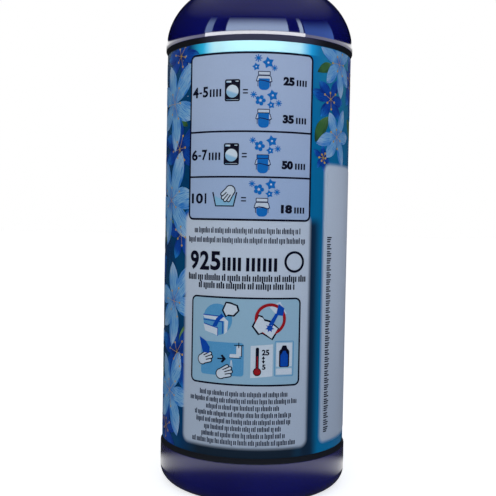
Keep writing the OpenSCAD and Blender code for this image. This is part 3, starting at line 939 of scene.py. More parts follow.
@dataclass
class WrappedLabel:
    """The film round the panel, glued over itself at the back, in metres."""

    radius: float
    foot: float
    top: float
    film: float = 0.2 * MM
    overlap: float = 9 * MM
    edge: float = 0.04 * MM

    def build(self, look: Look) -> None:
        """Turn the film, lay its end over its start and dress both."""
        inner = self.radius - self.film
        rim = self.radius - self.edge
        profile = [(inner, self.foot), (rim, self.foot), (self.radius, self.foot + self.edge)]
        profile += [(self.radius, self.top - self.edge), (rim, self.top), (inner, self.top)]
        mesh = spun([(r / MM, z / MM) for r, z in profile], closed=True)
        self._overlap(mesh)
        finished(mesh, "label_film", look, ("label",))

    def _overlap(self, mesh: bmesh.types.BMesh) -> None:
        """Lay the film's glued end over its start at the back."""
        low = Vector((0, self.radius - self.film / 2, self.foot))
        corners = [low, low + Vector((0, 0, self.top - self.foot))]
        corners += [corners[1] + Vector((0, 1.5 * self.film, 0)), low + Vector((0, 1.5 * self.film, 0))]
        face = mesh.faces.new([mesh.verts.new(corner) for corner in corners])
        swept(mesh, [face], math.degrees(self.overlap / self.radius), 9)
        bmesh.ops.recalc_face_normals(mesh, faces=mesh.faces[:])


class Flora:
    """Plain flowers with long petals, and leaves, round the label: arc, height, length and turn of each."""

    white: tuple[Spec, ...] = (
        (-42, 60, 20, 8), (-44, 20, 22, 40), (-40, -22, 19, 12), (-43, -60, 19, 25), (39, 77, 14, 5),
        (38, 47, 13, 30), (-70, 66, 17, 20), (-74, 0, 19, 50), (-66, -44, 16, 0), (-96, 34, 18, 10),
        (-102, -30, 17, 35), (70, 62, 16, 0), (103, 18, 17, 25), (106, 70, 15, 15), (104, -58, 18, 40),
    )
    blue: tuple[Spec, ...] = (
        (-37, 79, 13, 20), (-37, 41, 16, 0), (-35, 6, 13, 30), (-37, -43, 17, 15), (-47, -76, 13, 40),
        (33, 62, 11, 30), (29, 38, 6, 10), (-60, 36, 16, 30), (-60, -16, 15, 10), (-62, -74, 15, 0),
        (-86, 76, 15, 10), (-90, -4, 16, 45), (-86, -64, 16, 25), (-110, 6, 14, 0), (-114, 62, 16, 30),
        (54, 72, 15, 20), (90, 44, 16, 0), (96, -16, 15, 30), (114, -6, 12, 0), (-116, -66, 15, 20),
    )
    leaves: tuple[Spec, ...] = (
        (-33, 3, 17, 22), (-31, -52, 20, 14), (25, 72, 10, -58), (24.5, 44, 13, -24), (-31.5, 50, 9, 60),
        (-52, 50, 18, 60), (-54, 2, 18, -50), (-54, -60, 17, 20), (-80, 26, 20, 150), (-78, -28, 18, 20),
        (-104, 52, 18, 30), (-106, -8, 18, 80), (-98, -72, 15, -20), (62, 48, 15, 70), (84, 66, 16, -40),
        (100, 38, 16, 200), (112, 44, 15, 20), (94, -38, 17, 10),
    )
    sparks: Outline = (
        (-35.5, 77), (-33.2, 78.6), (-31.6, 75.2), (-34.4, 73.2), (-32.4, 71.6), (-36.2, 70.2),
        (-31.4, 68.0), (-33.8, 66.4), (-35.0, 63.2), (-31.9, 62.2),
    )
    petals: int = 6
    slimness: float = 0.215
    stamens: Point = (0.36, 0.24)
    stamen_turn: float = 23.0
    stamen: Outline = ((-0.09, 0.0), (0.09, 0.0), (0.05, 1.0), (-0.05, 1.0))
    anther_r: float = 0.46
    table_gap: float = 1.5

    @staticmethod
    def petal(bend: float = 0.0) -> list[Point]:
        """A pointed petal one unit long and one unit half wide, its tip bent sideways."""
        shares = [index / 9 for index in range(10)]
        half = [math.sin(math.pi * share ** 1.15) ** 0.8 for share in shares]
        right = [(width + bend * share ** 2, share) for width, share in zip(half, shares)]
        left = [(bend * share ** 2 - width, share) for width, share in zip(half, shares)]
        return right + left[-2:0:-1]

    def _blossom(self, sheet: FlatPrint, spec: Spec, layer: Layer) -> None:
        """Overlapping long petals about one middle."""
        s, z, length, turn = spec
        for index in range(self.petals):
            size = (length * self.slimness, length * (1.0 if index % 2 else 0.86))
            angle = turn + 360 * index / self.petals + 7 * math.sin(2.3 * index + s)
            bend = 0.9 * math.sin(1.7 * index + z)
            lift = 0.0045 * ((index * 2) % self.petals)
            sheet.shape(self.petal(bend), (s, z), layer, angle, size, lift)

    def _stamens(self, sheet: FlatPrint, spec: Spec) -> None:
        """Thin stems and round tips about one middle, left out where they would reach the dose table."""
        s, z, length, turn = spec
        for index in range(self.petals):
            degrees = turn + self.stamen_turn + 360 / self.petals * index
            reach = length * self.stamens[index % 2]
            tip = (s + reach * math.sin(math.radians(degrees)), z + reach * math.cos(math.radians(degrees)))
            if DoseTable.sides[0] - self.table_gap <= tip[0] <= DoseTable.sides[1] + self.table_gap:
                continue
            sheet.shape(self.stamen, (s, z), Layer.PANEL, -degrees, (1.0, reach), -0.01)
            sheet.disc(tip, self.anther_r, Layer.PANEL)

    def lay(self, press: "Press") -> None:
        """Print the leaves, the blossoms, their middles and the sparks.

        Args:
            press: The printed pieces.
        """
        for s, z, length, turn in self.leaves:
            size = (length * self.slimness, length)
            press["leaf"].shape(self.petal(0.8), (s, z), Layer.LEAF, turn, size)
        for spec in self.blue:
            self._blossom(press["blue_blossom"], spec, Layer.BLUE)
        for spec in self.white:
            self._blossom(press["white_blossom"], spec, Layer.WHITE)
        for spec in self.white + self.blue:
            self._stamens(press["blossom_eye"], spec)
        for index, spot in enumerate(self.sparks):
            press["spark"].disc(spot, 0.2 + 0.12 * (index % 3), Layer.PANEL)


class DoseTable:
    """The framed table of doses, in label millimetres: loads, machines, cups and amounts."""

    sides: Point = (-30.1, 22.8)
    ends: Point = (12.0, 78.2)
    rows: Point = (47.1, 29.25)
    corner: float = 2.4
    line: float = 0.8
    machine_s: float = -10.35
    machine_half: Point = (3.1, 4.3)
    machine_corner: float = 0.7
    machine_details: tuple[tuple[Point, Point, float], ...] = (
        ((-2.5, -0.5), (3.0, 3.7), 0.15), ((1.2, 2.4), (3.3, 3.65), 0.1), ((-2.5, 2.5), (-3.75, -3.6), 0.05),
    )
    window_drop: float = 0.4
    window_r: float = 2.5
    machines: Point = (63.15, 38.15)
    basin: Point = (-12.9, 20.3)
    basin_wall: Outline = (
        (-5.3, 2.8), (-3.9, -2.8), (3.9, -2.8), (5.3, 2.8), (4.75, 2.95), (3.55, -2.35), (-3.55, -2.35),
        (-4.75, 2.95),
    )
    basin_water: Outline = (
        (-4.5, 1.5), (-3.5, -2.4), (3.5, -2.4), (4.5, 1.5), (2.2, 1.5), (1.2, 0.2), (-1.8, 0.4),
    )
    equals: tuple[float, ...] = (62.65, 37.75, 20.45)
    cup_s: float = 2.15
    cup_h: float = 7.35
    cup_r: float = 2.17
    cup_bend: float = 1.7
    cup_tops: tuple[float, ...] = (70.6, 55.9, 38.1, 21.1)
    fills: tuple[float, ...] = (4.5, 5.6, 7.2, 3.4)
    collar: Outline = (
        (-2.3, 0), (2.3, 0), (2.75, -0.5), (3.25, -2.4), (2.2, -2.75), (0.6, -2.2), (-1.1, -2.0),
        (-2.4, -2.6), (-3.25, -2.35), (-2.75, -0.5),
    )
    collar_glass: Outline = (
        (-2.1, -0.32), (2.1, -0.32), (2.45, -0.7), (2.85, -2.15), (2.15, -2.4), (0.6, -1.88),
        (-1.1, -1.7), (-2.4, -2.25), (-2.85, -2.1), (-2.45, -0.7),
    )
    wave: Outline = (
        (-2.9, 0.25), (-1.4, 0.75), (0.5, 0.45), (2.4, -0.1), (2.9, 0.25), (2.9, 0.6), (2.3, 0.3),
        (0.6, 0.82), (-1.3, 1.12), (-2.9, 0.6),
    )
    amounts: tuple[str, ...] = ("25", "35", "50", "18")
    amount_sides: Point = (9.75, 14.4)
    amount_feet: tuple[float, ...] = (65.4, 50.6, 32.6, 15.25)
    loads: tuple[str, ...] = ("45", "67")
    load_sides: tuple[Point, ...] = ((-28.7, -25.6), (-23.4, -20.9))
    top_cluster: tuple[Spec, ...] = (
        (-2.4, 5.0, 8, 1.5), (1.5, 3.3, 6, 2.2), (-3.2, 1.65, 6, 1.5), (3.95, 1.3, 8, 1.2),
    )
    cluster: tuple[Spec, ...] = (
        (-4.05, 5.5, 8, 1.3), (-1.35, 3.3, 5, 2.1), (3.45, 5.35, 6, 2.15), (2.85, 1.6, 6, 1.5),
        (5.85, 2.35, 8, 1.3),
    )

    def lay(self, press: "Press") -> None:
        """Print the table from its field up to its marks.

        Args:
            press: The printed pieces.
        """
        press["dose_table"].card(self.sides, self.ends, self.corner, Layer.FIELD)
        for z in self.machines:
            self._machine(press["machine"], press["machine_window"], self.machine_s, z)
        press["basin"].shape(self.basin_wall, self.basin, Layer.MARK)
        press["basin_water"].shape(self.basin_water, self.basin, Layer.FILL)
        hand = PlainHand(press["basin"], press["basin_hand"])
        hand.draw((self.basin[0] + 2.4, self.basin[1] + 3.6), 1.35, 142.0)
        for z in self.equals:
            for middle in (z - 0.62, z + 0.62):
                press["equals"].bar((-6.1, -4.15), (middle - 0.24, middle + 0.24), Layer.MARK)
        for index, (top, fill) in enumerate(zip(self.cup_tops, self.fills)):
            self._cup(press, top, fill)
            for across, up, kind, radius in self.cluster if index else self.top_cluster:
                self._bloom(press, (self.cup_s + across, top + up), kind, radius)
        self._numbers(press["dose_number"], press["load_number"])

    def _machine(self, dark: FlatPrint, pale: FlatPrint, s: float, z: float) -> None:
        """A washing machine: dark body, pale drawer, display and plinth, and a round window."""
        wide, tall = self.machine_half
        dark.card((s - wide, s + wide), (z - tall, z + tall), self.machine_corner, Layer.MARK)
        for sides, ends, corner in self.machine_details:
            pale.card((s + sides[0], s + sides[1]), (z + ends[0], z + ends[1]), corner, Layer.TOP_MARK)
        pale.disc((s, z - self.window_drop), self.window_r, Layer.TOP_MARK)

    def _cup(self, press: "Press", top: float, fill: float) -> None:
        """An upturned measuring cap, filled to its dose: mouth tube, flared collar and rounded cup."""
        lines = press["cup_line"]
        glass = press["cup_glass"]
        s = self.cup_s
        foot = top - self.cup_h
        lines.frame((s - 2.45, s + 2.45), (top - 1.7, top), 0.3, 0.32, Layer.MARK)
        glass.card((s - 2.3, s + 2.3), (top - 1.55, top - 0.15), 0.2, Layer.FILL)
        lines.shape(self.collar, (s, top - 1.6), Layer.FILL, lift=-0.012)
        glass.shape(self.collar_glass, (s, top - 1.6), Layer.FILL)
        bend = self.cup_bend
        inset = self.cup_r - bend
        dose = arc((-inset, bend), bend, 270, 180, 6) + [(-self.cup_r, fill), (self.cup_r, fill)]
        press["cup_dose"].shape(dose + arc((inset, bend), bend, 0, -90, 6), (s, foot), Layer.FILL, lift=0.01)
        for side in (s - 2.6, s + 2.35):
            lines.bar((side, side + 0.25), (foot + 1.4, top - 4.1), Layer.MARK)
        lines.shape(self.wave, (s, top - 4.45), Layer.MARK)

    @staticmethod
    def _bloom(press: "Press", at: Point, kind: int, radius: float) -> None:
        """A small flower of five spots, a five-pointed star or a thin eight-rayed one."""
        sheet = press["cluster"]
        if kind == 5:
            for turn in range(20, 380, 72):
                angle = math.radians(turn)
                spot = (at[0] + 0.62 * radius * math.sin(angle), at[1] + 0.62 * radius * math.cos(angle))
                sheet.disc(spot, 0.38 * radius, Layer.MARK)
            press["cluster_heart"].disc(at, 0.17 * radius, Layer.TOP_MARK)
        elif kind == 6:
            sheet.star(at, 5, 1.08 * radius, 0.6, Layer.MARK, turn=12)
            press["cluster_heart"].disc(at, 0.18 * radius, Layer.TOP_MARK)
        else:
            ray = [(-0.14, -1), (0.14, -1), (0.14, 1), (-0.14, 1)]
            for turn in range(0, 180, 45):
                sheet.shape(ray, at, Layer.MARK, turn, (radius, radius), 0.0001 * turn)

    def _numbers(self, amounts: FlatPrint, loads: FlatPrint) -> None:
        """The amounts and loads as plain figures, each with plain strokes after it where its unit stood."""
        for text, foot in zip(self.amounts, self.amount_feet):
            amounts.digits(text, self.amount_sides, (foot - 0.1, foot + 3.3), Layer.MARK, 0.062)
            amounts.strokes(self.amount_sides[1] + 0.9, foot, 2.4, 4, 0.72, 1.25)
        for pair, z in zip(self.loads, self.machines):
            for figure, sides in zip(pair, self.load_sides):
                loads.digits(figure, sides, (z - 2.3, z + 1.9), Layer.MARK, FIGURE_WEIGHT)
            loads.bar((-25.2, -23.9), (z - 0.8, z - 0.15), Layer.MARK)
            loads.strokes(-20.1, z - 2.3, 3.0, 4, 0.75, 1.45)
        z = self.basin[1]
        loads.digits("10", (-28.4, -22.6), (z - 1.7, z + 2.4), Layer.MARK, FIGURE_WEIGHT)
        loads.strokes(-21.7, z - 1.7, 4.1, 1, 0.75, 1.2)


class PlainHand:
    """A plain hand: a round palm and four fingers, white with a dark line round each."""

    fingers: tuple[Spec, ...] = (
        (-0.98, 0.4, 2.2, 10.0), (-0.36, 0.7, 2.5, 4.0), (0.3, 0.7, 2.4, -3.0), (0.92, 0.4, 2.0, -9.0),
    )
    palm: Point = (1.3, 1.25)
    finger_r: float = 0.33
    line: float = 0.42

    def __init__(self, outline: FlatPrint, skin: FlatPrint) -> None:
        """Keep the two inks' sheets."""
        self.outline = outline
        self.skin = skin

    @staticmethod
    def _finger(radius: float, length: float) -> list[Point]:
        """A bar with round ends, from its root upwards."""
        return arc((0, length), radius, 0, 180, 8) + arc((0, 0), radius, 180, 360, 8)

    def draw(self, at: Point, size: float, turn: float) -> None:
        """Draw the hand about the middle of its palm.

        Args:
            at: Arc and height of the palm's middle.
            size: Scale of the hand; 1 is about 4 mm long.
            turn: How far its fingers are turned from upright, against the clock, in degrees.
        """
        round_palm = arc((0, 0), 1.0, 0, 345, 23)
        wide = (size * self.palm[0], size * self.palm[1])
        rim = (wide[0] + self.line, wide[1] + self.line)
        self.outline.shape(round_palm, at, Layer.MARK, turn, rim, 0.012)
        for step, (x, y, length, lean) in enumerate(self.fingers):
            root = Vector(at) + size * (Matrix.Rotation(math.radians(turn), 2) @ Vector((x, y)))
            for sheet, grow, lift in ((self.outline, self.line, 0.0), (self.skin, 0.0, 0.003)):
                bar = self._finger(self.finger_r * size + grow, length * size)
                sheet.shape(bar, tuple(root), Layer.TOP_MARK, turn + lean, lift=lift + 0.006 * step)
        self.skin.shape(round_palm, at, Layer.TOP_MARK, turn, wide, lift=0.04)


@dataclass
class TextLines:
    """Where words stood: rows of plain strokes in groups, in label millimetres."""

    sheet: FlatPrint
    tall: float
    weight: float
    pitch: float
    words: tuple[int, ...] = (5, 3, 8, 2, 6, 4, 9, 3, 7)
    pattern: tuple[float, ...] = (1.3, 1.0, 1.0, 1.0, 1.3, 1.0, -1.0, 1.0, 1.0, 1.3, 1.0, 1.0, 1.0)
    drop: float = 0.3
    space: float = 0.6

    def row(self, sides: Point, middle: float, first: int) -> None:
        """Print one row of stroke groups.

        Args:
            sides: Arcs of its two ends.
            middle: Height of its middle.
            first: Which group and stroke come first.
        """
        foot = middle - self.tall / 2
        place = sides[0]
        group = first
        drawn = first
        while place < sides[1] - self.pitch:
            for _ in range(self.words[group % len(self.words)]):
                if place > sides[1] - self.weight:
                    break
                rise = self.pattern[drawn % len(self.pattern)]
                low = foot - (self.drop * self.tall if rise < 0 else 0)
                self.sheet.bar((place, place + self.weight), (low, foot + self.tall * abs(rise)), Layer.MARK)
                place += self.pitch
                drawn += 1
            place += self.pitch * self.space
            group += 1


class TextPanel:
    """The pale panel under the table: volume, rows where words stood, and its ring."""

    fields: dict[str, tuple[Point, Point]] = {
        "text_panel": ((-29.9, 21.4), (-77.0, 16.0)),
        "side_panel": ((32.0, 85.2), (-77.0, 34.0)),
    }
    corner: float = 2.0
    figures: dict[str, float] = {"9": -28.5, "2": -23.5, "5": -18.5}
    figure_w: float = 4.4
    figure_ends: Point = (-7.9, -0.3)
    stroke_h: float = 5.3
    stroke_w: float = 1.25
    strokes: tuple[tuple[float, int, float], ...] = ((-13.2, 4, 2.1), (-3.6, 6, 2.2))
    ring_at: Point = (15.9, -4)
    bold: tuple[tuple[Point, float, int], ...] = (((-29.4, 21.7), -10.9, 0), ((-23.9, 16.9), -14.0, 3))
    notes: tuple[tuple[Point, float, int], ...] = (((-26.5, 18.7), 7.9, 1), ((-29.6, 21.6), 4.1, 4))
    small: Outline = (
        (-22.5, 14.2), (-27.3, 18.5), (-19.4, 11), (-24.8, 16.2), (-24, 16), (-20.2, 11.9),
        (-21.4, 13.3), (-26, 17.7),
    )
    small_top: float = -57.0
    small_pitch: float = 2.77
    side_left: float = 32.6
    side_foot: float = -74.5
    side_pitch: float = 2.9
    side_rows: int = 28

    def lay(self, press: "Press") -> None:
        """Print the two panels from their fields up to their rows.

        Args:
            press: The printed pieces.
        """
        for name, (sides, ends) in self.fields.items():
            press[name].card(sides, ends, self.corner, Layer.PANEL)
        volume = press["volume_number"]
        for figure, left in self.figures.items():
            volume.digits(figure, (left, left + self.figure_w), self.figure_ends, Layer.MARK, FIGURE_WEIGHT)
        for left, count, pitch in self.strokes:
            volume.strokes(left, self.figure_ends[0], self.stroke_h, count, self.stroke_w, pitch)
        press["volume_ring"].ring(self.ring_at, 4.3, 0.95, Layer.MARK)
        for row in self.bold:
            TextLines(press["bold_row"], 2.1, 0.56, 0.9).row(*row)
        for row in self.notes:
            TextLines(press["small_row"], 1.8, 0.36, 0.66).row(*row)
        for index, sides in enumerate(self.small):
            middle = self.small_top - self.small_pitch * index
            TextLines(press["small_row"], 1.6, 0.36, 0.64).row(sides, middle, index)
        for index in range(self.side_rows):
            for step in range(3):
                low = self.side_foot + self.side_pitch * index + 0.85 * step
                right = self.side_left + 2.0 + 0.5 * ((index + step) % 3)
                press["side_mark"].bar((self.side_left, right), (low, low + 0.5), Layer.MARK)


class PictureBox:
    """The framed box of washing pictures in the lower half, in label millimetres.

    The pictures are a drawer with a measure pouring into it, a shirt before a plain red ring, a hand that
    takes the liquid and one that is rinsed, and a thermometer beside a cupboard with a bottle in it.
    """

    sides: Point = (-27.3, 19.1)
    ends: Point = (-53.5, -18.2)
    shapes: tuple[tuple[str, Layer, float, Point, Outline], ...] = (
        ("white", Layer.MARK, 0, (-15.8, -28.6), ((-5.4, -0.8), (0.9, -2.4), (0.9, -5.2), (-4.6, -3.6))),
        ("white", Layer.MARK, 0, (-15.8, -28.6), (
            (-5.6, 2.6), (3.6, 2.2), (5.4, 0.6), (5.0, -3.6), (3.8, -4.6), (3.8, 0.6), (-5.0, 1.4))),
        ("white", Layer.FILL, 0.01, (5.6, -25.4), ((0.4, 3.4), (4.6, 5.6), (7.4, 0.8), (3.4, 0.2))),
        ("white", Layer.FILL, 0.01, (3.4, -43.6), ((-4.6, -6.6), (4.2, -5.8), (4.2, 6.9), (-4.6, 6.2))),
        ("blue", Layer.MARK, 0, (-15.8, -28.6), (
            (-5.5, 1.1), (3.3, 0.5), (3.3, -4.4), (2.9, -4.4), (2.9, 0.1), (-5.5, 0.7))),
        ("blue", Layer.MARK, 0, (-15.8, -28.6), ((-5.6, 3.0), (3.7, 2.6), (3.7, 2.2), (-5.6, 2.6))),
        ("blue", Layer.TOP_MARK, 0, (-15.8, -28.6), (
            (-5.2, -0.5), (1.2, -2.1), (1.2, -5.4), (0.9, -5.4), (0.9, -2.4), (-5.2, -0.9))),
        ("blue", Layer.TOP_MARK, 0.01, (-15.8, -28.6), (
            (-1.4, -1.6), (0.4, 1.6), (2.6, 3.6), (3.6, 2.4), (1.6, 0.6), (0.6, -1.6))),
        ("blue", Layer.TOP_MARK, 0, (9.4, -24.0), ((-0.8, -1.0), (0.2, 3.4), (2.6, 1.6), (2.0, -1.4))),
        ("blue", Layer.TOP_MARK, 0.012, (8.8, -24.6), ((-3.2, -4.4), (-0.4, 0.2), (0.6, -0.6), (-1.4, -4.6))),
        ("blue", Layer.TOP_MARK, 0.03, (-20.6, -37.8), (
            (-2.4, 3.0), (0.6, 1.4), (2.4, -1.0), (2.2, -3.4), (-0.6, -3.2), (-1.6, -0.4))),
        ("dark", Layer.MARK, 0, (-13.0, -43.0), (
            (-1.7, 0.25), (0.5, 0.25), (-0.3, 1.2), (0.4, 1.7), (2.0, 0), (0.4, -1.7), (-0.3, -1.2),
            (0.5, -0.25), (-1.7, -0.25))),
    )
    outlined: tuple[tuple[float, Point, Outline], ...] = (
        (0.75, (-10.0, -23.0), (
            (-2.4, -0.6), (-1.2, 2.2), (0.4, 2.0), (2.8, 1.2), (3.4, -0.6), (1.6, -2.4), (-0.4, -2.2),
            (-1.2, -2.8))),
        (0.8, (5.2, -28.2), (
            (-5.4, -1.4), (-3.4, 2.6), (-1.8, 2.0), (-1.2, 0.8), (0.6, 0.4), (4.2, -2.2), (1.8, -6.2),
            (-1.8, -3.6), (-3.2, -4.2))),
    )
    cards: tuple[tuple[str, Layer, float, Point, Point, float], ...] = (
        ("sky", Layer.FILL, 0, (-22.1, -3.9), (-49.7, -36.4), 1.2),
        ("white", Layer.MARK, 0, (-6.9, -4.9), (-41.6, -37.6), 0.4),
        ("white", Layer.MARK, 0.006, (-9.6, -5.6), (-42.4, -40.9), 0.5),
        ("white", Layer.FILL, 0, (9.0, 15.6), (-45.6, -36.2), 0.3),
        ("white", Layer.FILL, 0, (9.0, 15.6), (-48.8, -46.4), 0.3),
        ("dark", Layer.MARK, 0, (0.8, 2.1), (-47.6, -38.0), 0.6),
        ("red", Layer.TOP_MARK, 0, (1.25, 1.65), (-46.6, -41.5), 0.15),
    )
    discs: tuple[tuple[str, Layer, float, Point, float], ...] = (
        ("sky", Layer.FILL, 0, (-15.1, -27.4), 6.3),
        ("blue", Layer.TOP_MARK, 0.01, (6.2, -30.2), 1.1),
        ("dark", Layer.MARK, 0.005, (1.45, -47.7), 1.65),
        ("red", Layer.TOP_MARK, 0, (1.45, -47.7), 1.3),
    )
    bars: tuple[tuple[Layer, Point, Point], ...] = (
        (Layer.TOP_MARK, (-4.95, -4.65), (-41.9, -37.4)),
        (Layer.TOP_MARK, (-7.8, -4.0), (-37.55, -37.2)),
        (Layer.TOP_MARK, (-6.1, -5.75), (-38.4, -36.2)),
        (Layer.TOP_MARK, (-9.7, -5.0), (-42.6, -42.3)),
        (Layer.MARK, (3.7, 4.06), (-44.0, -41.8)),
    )
    hands: Outline = ((-21.6, -43.9), (-13.2, -49.0))
    hand_turns: Point = (-64.0, -68.0)
    figures: tuple[tuple[str, Point, Point], ...] = (
        ("25", (3.2, 6.2), (-41.1, -38.8)),
        ("5", (3.4, 4.8), (-46.8, -44.7)),
    )
    bottle: Outline = (
        (-1.9, 0.4), (-1.9, 6.2), (-1.1, 7.2), (-0.7, 8.4), (0.7, 8.4), (1.1, 7.2), (1.9, 6.2), (1.9, 0.4),
        (1.5, 0), (-1.5, 0),
    )
    bottle_at: Point = (12.3, -45.7)

    def lay(self, press: "Press") -> None:
        """Print the box, the frames and the four pictures.

        Args:
            press: The printed pieces.
        """
        press["picture_box"].card(self.sides, self.ends, DoseTable.corner, Layer.FIELD)
        lines = press["frame_line"]
        lines.frame(DoseTable.sides, DoseTable.ends, DoseTable.corner, DoseTable.line, Layer.FILL)
        for z in DoseTable.rows:
            lines.bar(DoseTable.sides, (z - 0.36, z + 0.36), Layer.FILL)
        lines.frame(self.sides, self.ends, DoseTable.corner, 0.7, Layer.FILL)
        inks = {ink: press[f"picture_{ink}"] for ink in ("sky", "white", "blue", "dark", "red")}
        for ink, layer, lift, at, points in self.shapes:
            inks[ink].shape(points, at, layer, lift=lift)
        for ink, layer, lift, sides, ends, corner in self.cards:
            inks[ink].card(sides, ends, corner, layer, lift)
        for ink, layer, lift, at, radius in self.discs:
            inks[ink].disc(at, radius, layer, lift)
        for layer, sides, ends in self.bars:
            inks["dark"].bar(sides, ends, layer)
        for line, at, points in self.outlined:
            inks["dark"].shape(self._grown(points, line), at, Layer.MARK)
            inks["white"].shape(points, at, Layer.TOP_MARK)
        for text, sides, ends in self.figures:
            inks["dark"].digits(text, sides, ends, Layer.MARK, 0.04)
        hand = PlainHand(inks["dark"], inks["white"])
        for at, turn in zip(self.hands, self.hand_turns):
            hand.draw(at, 1.4, turn)
        for lean in (-1.0, 0.0, 1.0):
            drop = (-9.0 + lean * 0.5, -8.8 + lean * 0.5)
            inks["white"].bar(drop, (-46.2, -43.4), Layer.MARK, lean=-lean * 0.4)
        inks["red"].ring((6.4, -26.7), 6.3, 1.2, Layer.MARK)
        inks["blue"].star((6.2, -30.2), 7, 1.9, 0.5, Layer.TOP_MARK)
        inks["dark"].star((3.88, -42.1), 3, 0.8, 0.5, Layer.MARK)
        inks["dark"].star((3.88, -43.7), 3, 0.8, 0.5, Layer.MARK, turn=180)
        inks["sky"].frame((8.3, 16.3), (-49.5, -35.4), 0.6, 0.3, Layer.MARK)
        dark = [(x * 1.12, y * 1.03 - 0.15) for x, y in self.bottle]
        blue = [(x * 0.82, y * 0.74 + 0.15) for x, y in self.bottle]
        inks["dark"].shape(dark, self.bottle_at, Layer.MARK)
        inks["blue"].shape(blue, self.bottle_at, Layer.TOP_MARK)

    @staticmethod
    def _grown(points: Outline, line: float) -> list[Point]:
        """An outline whose corners are moved away from its middle by a line's width."""
        middle = Vector((sum(p[0] for p in points), sum(p[1] for p in points))) / len(points)
        return [tuple(Vector(p) + (Vector(p) - middle).normalized() * line) for p in points]


class Inks:
    """Every printed finish by its name."""

    marks: dict[str, tuple[Colour, Colour]] = {
        "navy": (screen(8, 8, 26), screen(16, 18, 38)),
        "small_row": (screen(20, 22, 42), screen(32, 36, 58)),
        "line": (screen(16, 24, 62), screen(28, 40, 84)),
        "mark_blue": (screen(6, 98, 172), screen(16, 108, 180)),
        "deep_blue": (screen(4, 62, 152), screen(10, 74, 166)),
        "sky": (screen(76, 140, 180), screen(88, 150, 188)),
        "water": (screen(124, 172, 198), screen(140, 182, 204)),
        "white": (screen(198, 206, 212), screen(184, 194, 202)),
        "red": (screen(160, 26, 34), screen(128, 18, 24)),
        "blossom_eye": (screen(206, 170, 70), screen(160, 120, 40)),
        "spark": (screen(150, 170, 190), screen(110, 140, 170)),
    }
    panels: tuple[PanelInk, ...] = (
        PanelInk("panel", screen(193, 201, 210), screen(172, 182, 194), 16.0, -78.0),
        PanelInk("table", screen(172, 185, 207), screen(158, 176, 203), 74.0, 16.0),
        PanelInk("picture_box", screen(146, 178, 194), screen(144, 177, 195), -18.0, -54.0),
    )
    drawn: tuple[DrawnInk, ...] = (
        DrawnInk("leaf", screen(26, 52, 34), screen(60, 104, 52), screen(104, 142, 84), screen(34, 66, 40)),
        DrawnInk(
            "blue_petal", screen(4, 22, 84), screen(2, 72, 160), screen(30, 134, 206),
            screen(0, 34, 112), 0.9),
        DrawnInk(
            "white_petal", screen(4, 84, 168), screen(122, 170, 200), screen(180, 200, 210),
            screen(14, 108, 186), 0.95),
    )
    window: WindowInk = WindowInk("window", screen(206, 214, 218), screen(140, 180, 204))

    def mixed(self, space: LabelSpace) -> dict[str, Look]:
        """Mix the inks.

        Args:
            space: Where the label lies.

        Returns:
            The materials by their names.
        """
        pale = self.panels[0]
        looks = {ink.name: ink.material(space) for ink in self.panels}
        looks |= {name: MarkInk(name, *tones).material() for name, tones in self.marks.items()}
        looks |= {ink.name: ink.material(space, PanelEdges(), pale) for ink in self.drawn}
        looks["window"] = self.window.material()
        looks["film"] = MetallisedFilm("label_film_print").material(space, PanelEdges(), pale)
        return looks


class Press:
    """The printed pieces: the ink of each, a slot name for its finish and the solid it stands for."""

    pieces: dict[str, tuple[str, str, str]] = {
        "leaf": ("leaf", "ink_green", "leaves"),
        "blue_blossom": ("blue_petal", "ink_blue", "blue_blossoms"),
        "white_blossom": ("white_petal", "ink_white", "white_blossoms"),
        "blossom_eye": ("blossom_eye", "ink_yellow", "blossom_centres"),
        "spark": ("spark", "ink_white", ""),
        "text_panel": ("panel", "ink_pale", "text_panel"),
        "side_panel": ("panel", "ink_pale", "side_panel"),
        "volume_number": ("navy", "ink_navy", "volume_number"),
        "volume_ring": ("navy", "ink_navy", "volume_ring"),
        "bold_row": ("navy", "ink_navy", "bold_lines"),
        "small_row": ("small_row", "ink_grey", "small_lines"),
        "side_mark": ("navy", "ink_grey", "side_marks"),
        "dose_table": ("table", "ink_table", "dose_table"),
        "machine": ("navy", "ink_navy", "machine_marks"),
        "machine_window": ("window", "ink_white", "machine_windows"),
        "basin_water": ("water", "ink_sky", "basin_water"),
        "basin": ("navy", "ink_navy", "basin_mark"),
        "basin_hand": ("white", "ink_white", ""),
        "equals": ("navy", "ink_navy", "equal_marks"),
        "cup_line": ("line", "ink_navy", "cup_outlines"),
        "cup_glass": ("white", "ink_white", ""),
        "cup_dose": ("mark_blue", "ink_mark_blue", "cup_fills"),
        "cluster": ("mark_blue", "ink_mark_blue", "dose_blossoms"),
        "cluster_heart": ("white", "ink_white", ""),
        "dose_number": ("navy", "ink_navy", "dose_numbers"),
        "load_number": ("navy", "ink_navy", "load_numbers"),
        "picture_box": ("picture_box", "ink_sky", "picture_box"),
        "frame_line": ("navy", "ink_navy", "frame_lines"),
        "picture_sky": ("sky", "ink_mark_sky", "picture_fields"),
        "picture_white": ("white", "ink_white", "picture_cards"),
        "picture_blue": ("deep_blue", "ink_blue", "picture_blue"),
        "picture_dark": ("navy", "ink_navy", "picture_dark"),
        "picture_red": ("red", "ink_red", "picture_red"),
    }

    def __init__(self, wrap: Wrap) -> None:
        """Start every piece with an empty sheet."""
        self.sheets = {name: FlatPrint(wrap) for name in self.pieces}

    def __getitem__(self, name: str) -> FlatPrint:
        """The sheet of a piece."""
        return self.sheets[name]

    def finish(self, looks: dict[str, Look]) -> None:
        """Roll every sheet round the film and dress it.

        Args:
            looks: The inks' materials by their names.
        """
        for name, (ink, slot, node) in self.pieces.items():
            stands_for = (node,) if node else ()
            finished(self.sheets[name].done(), f"{name}_print", looks[ink], stands_for)


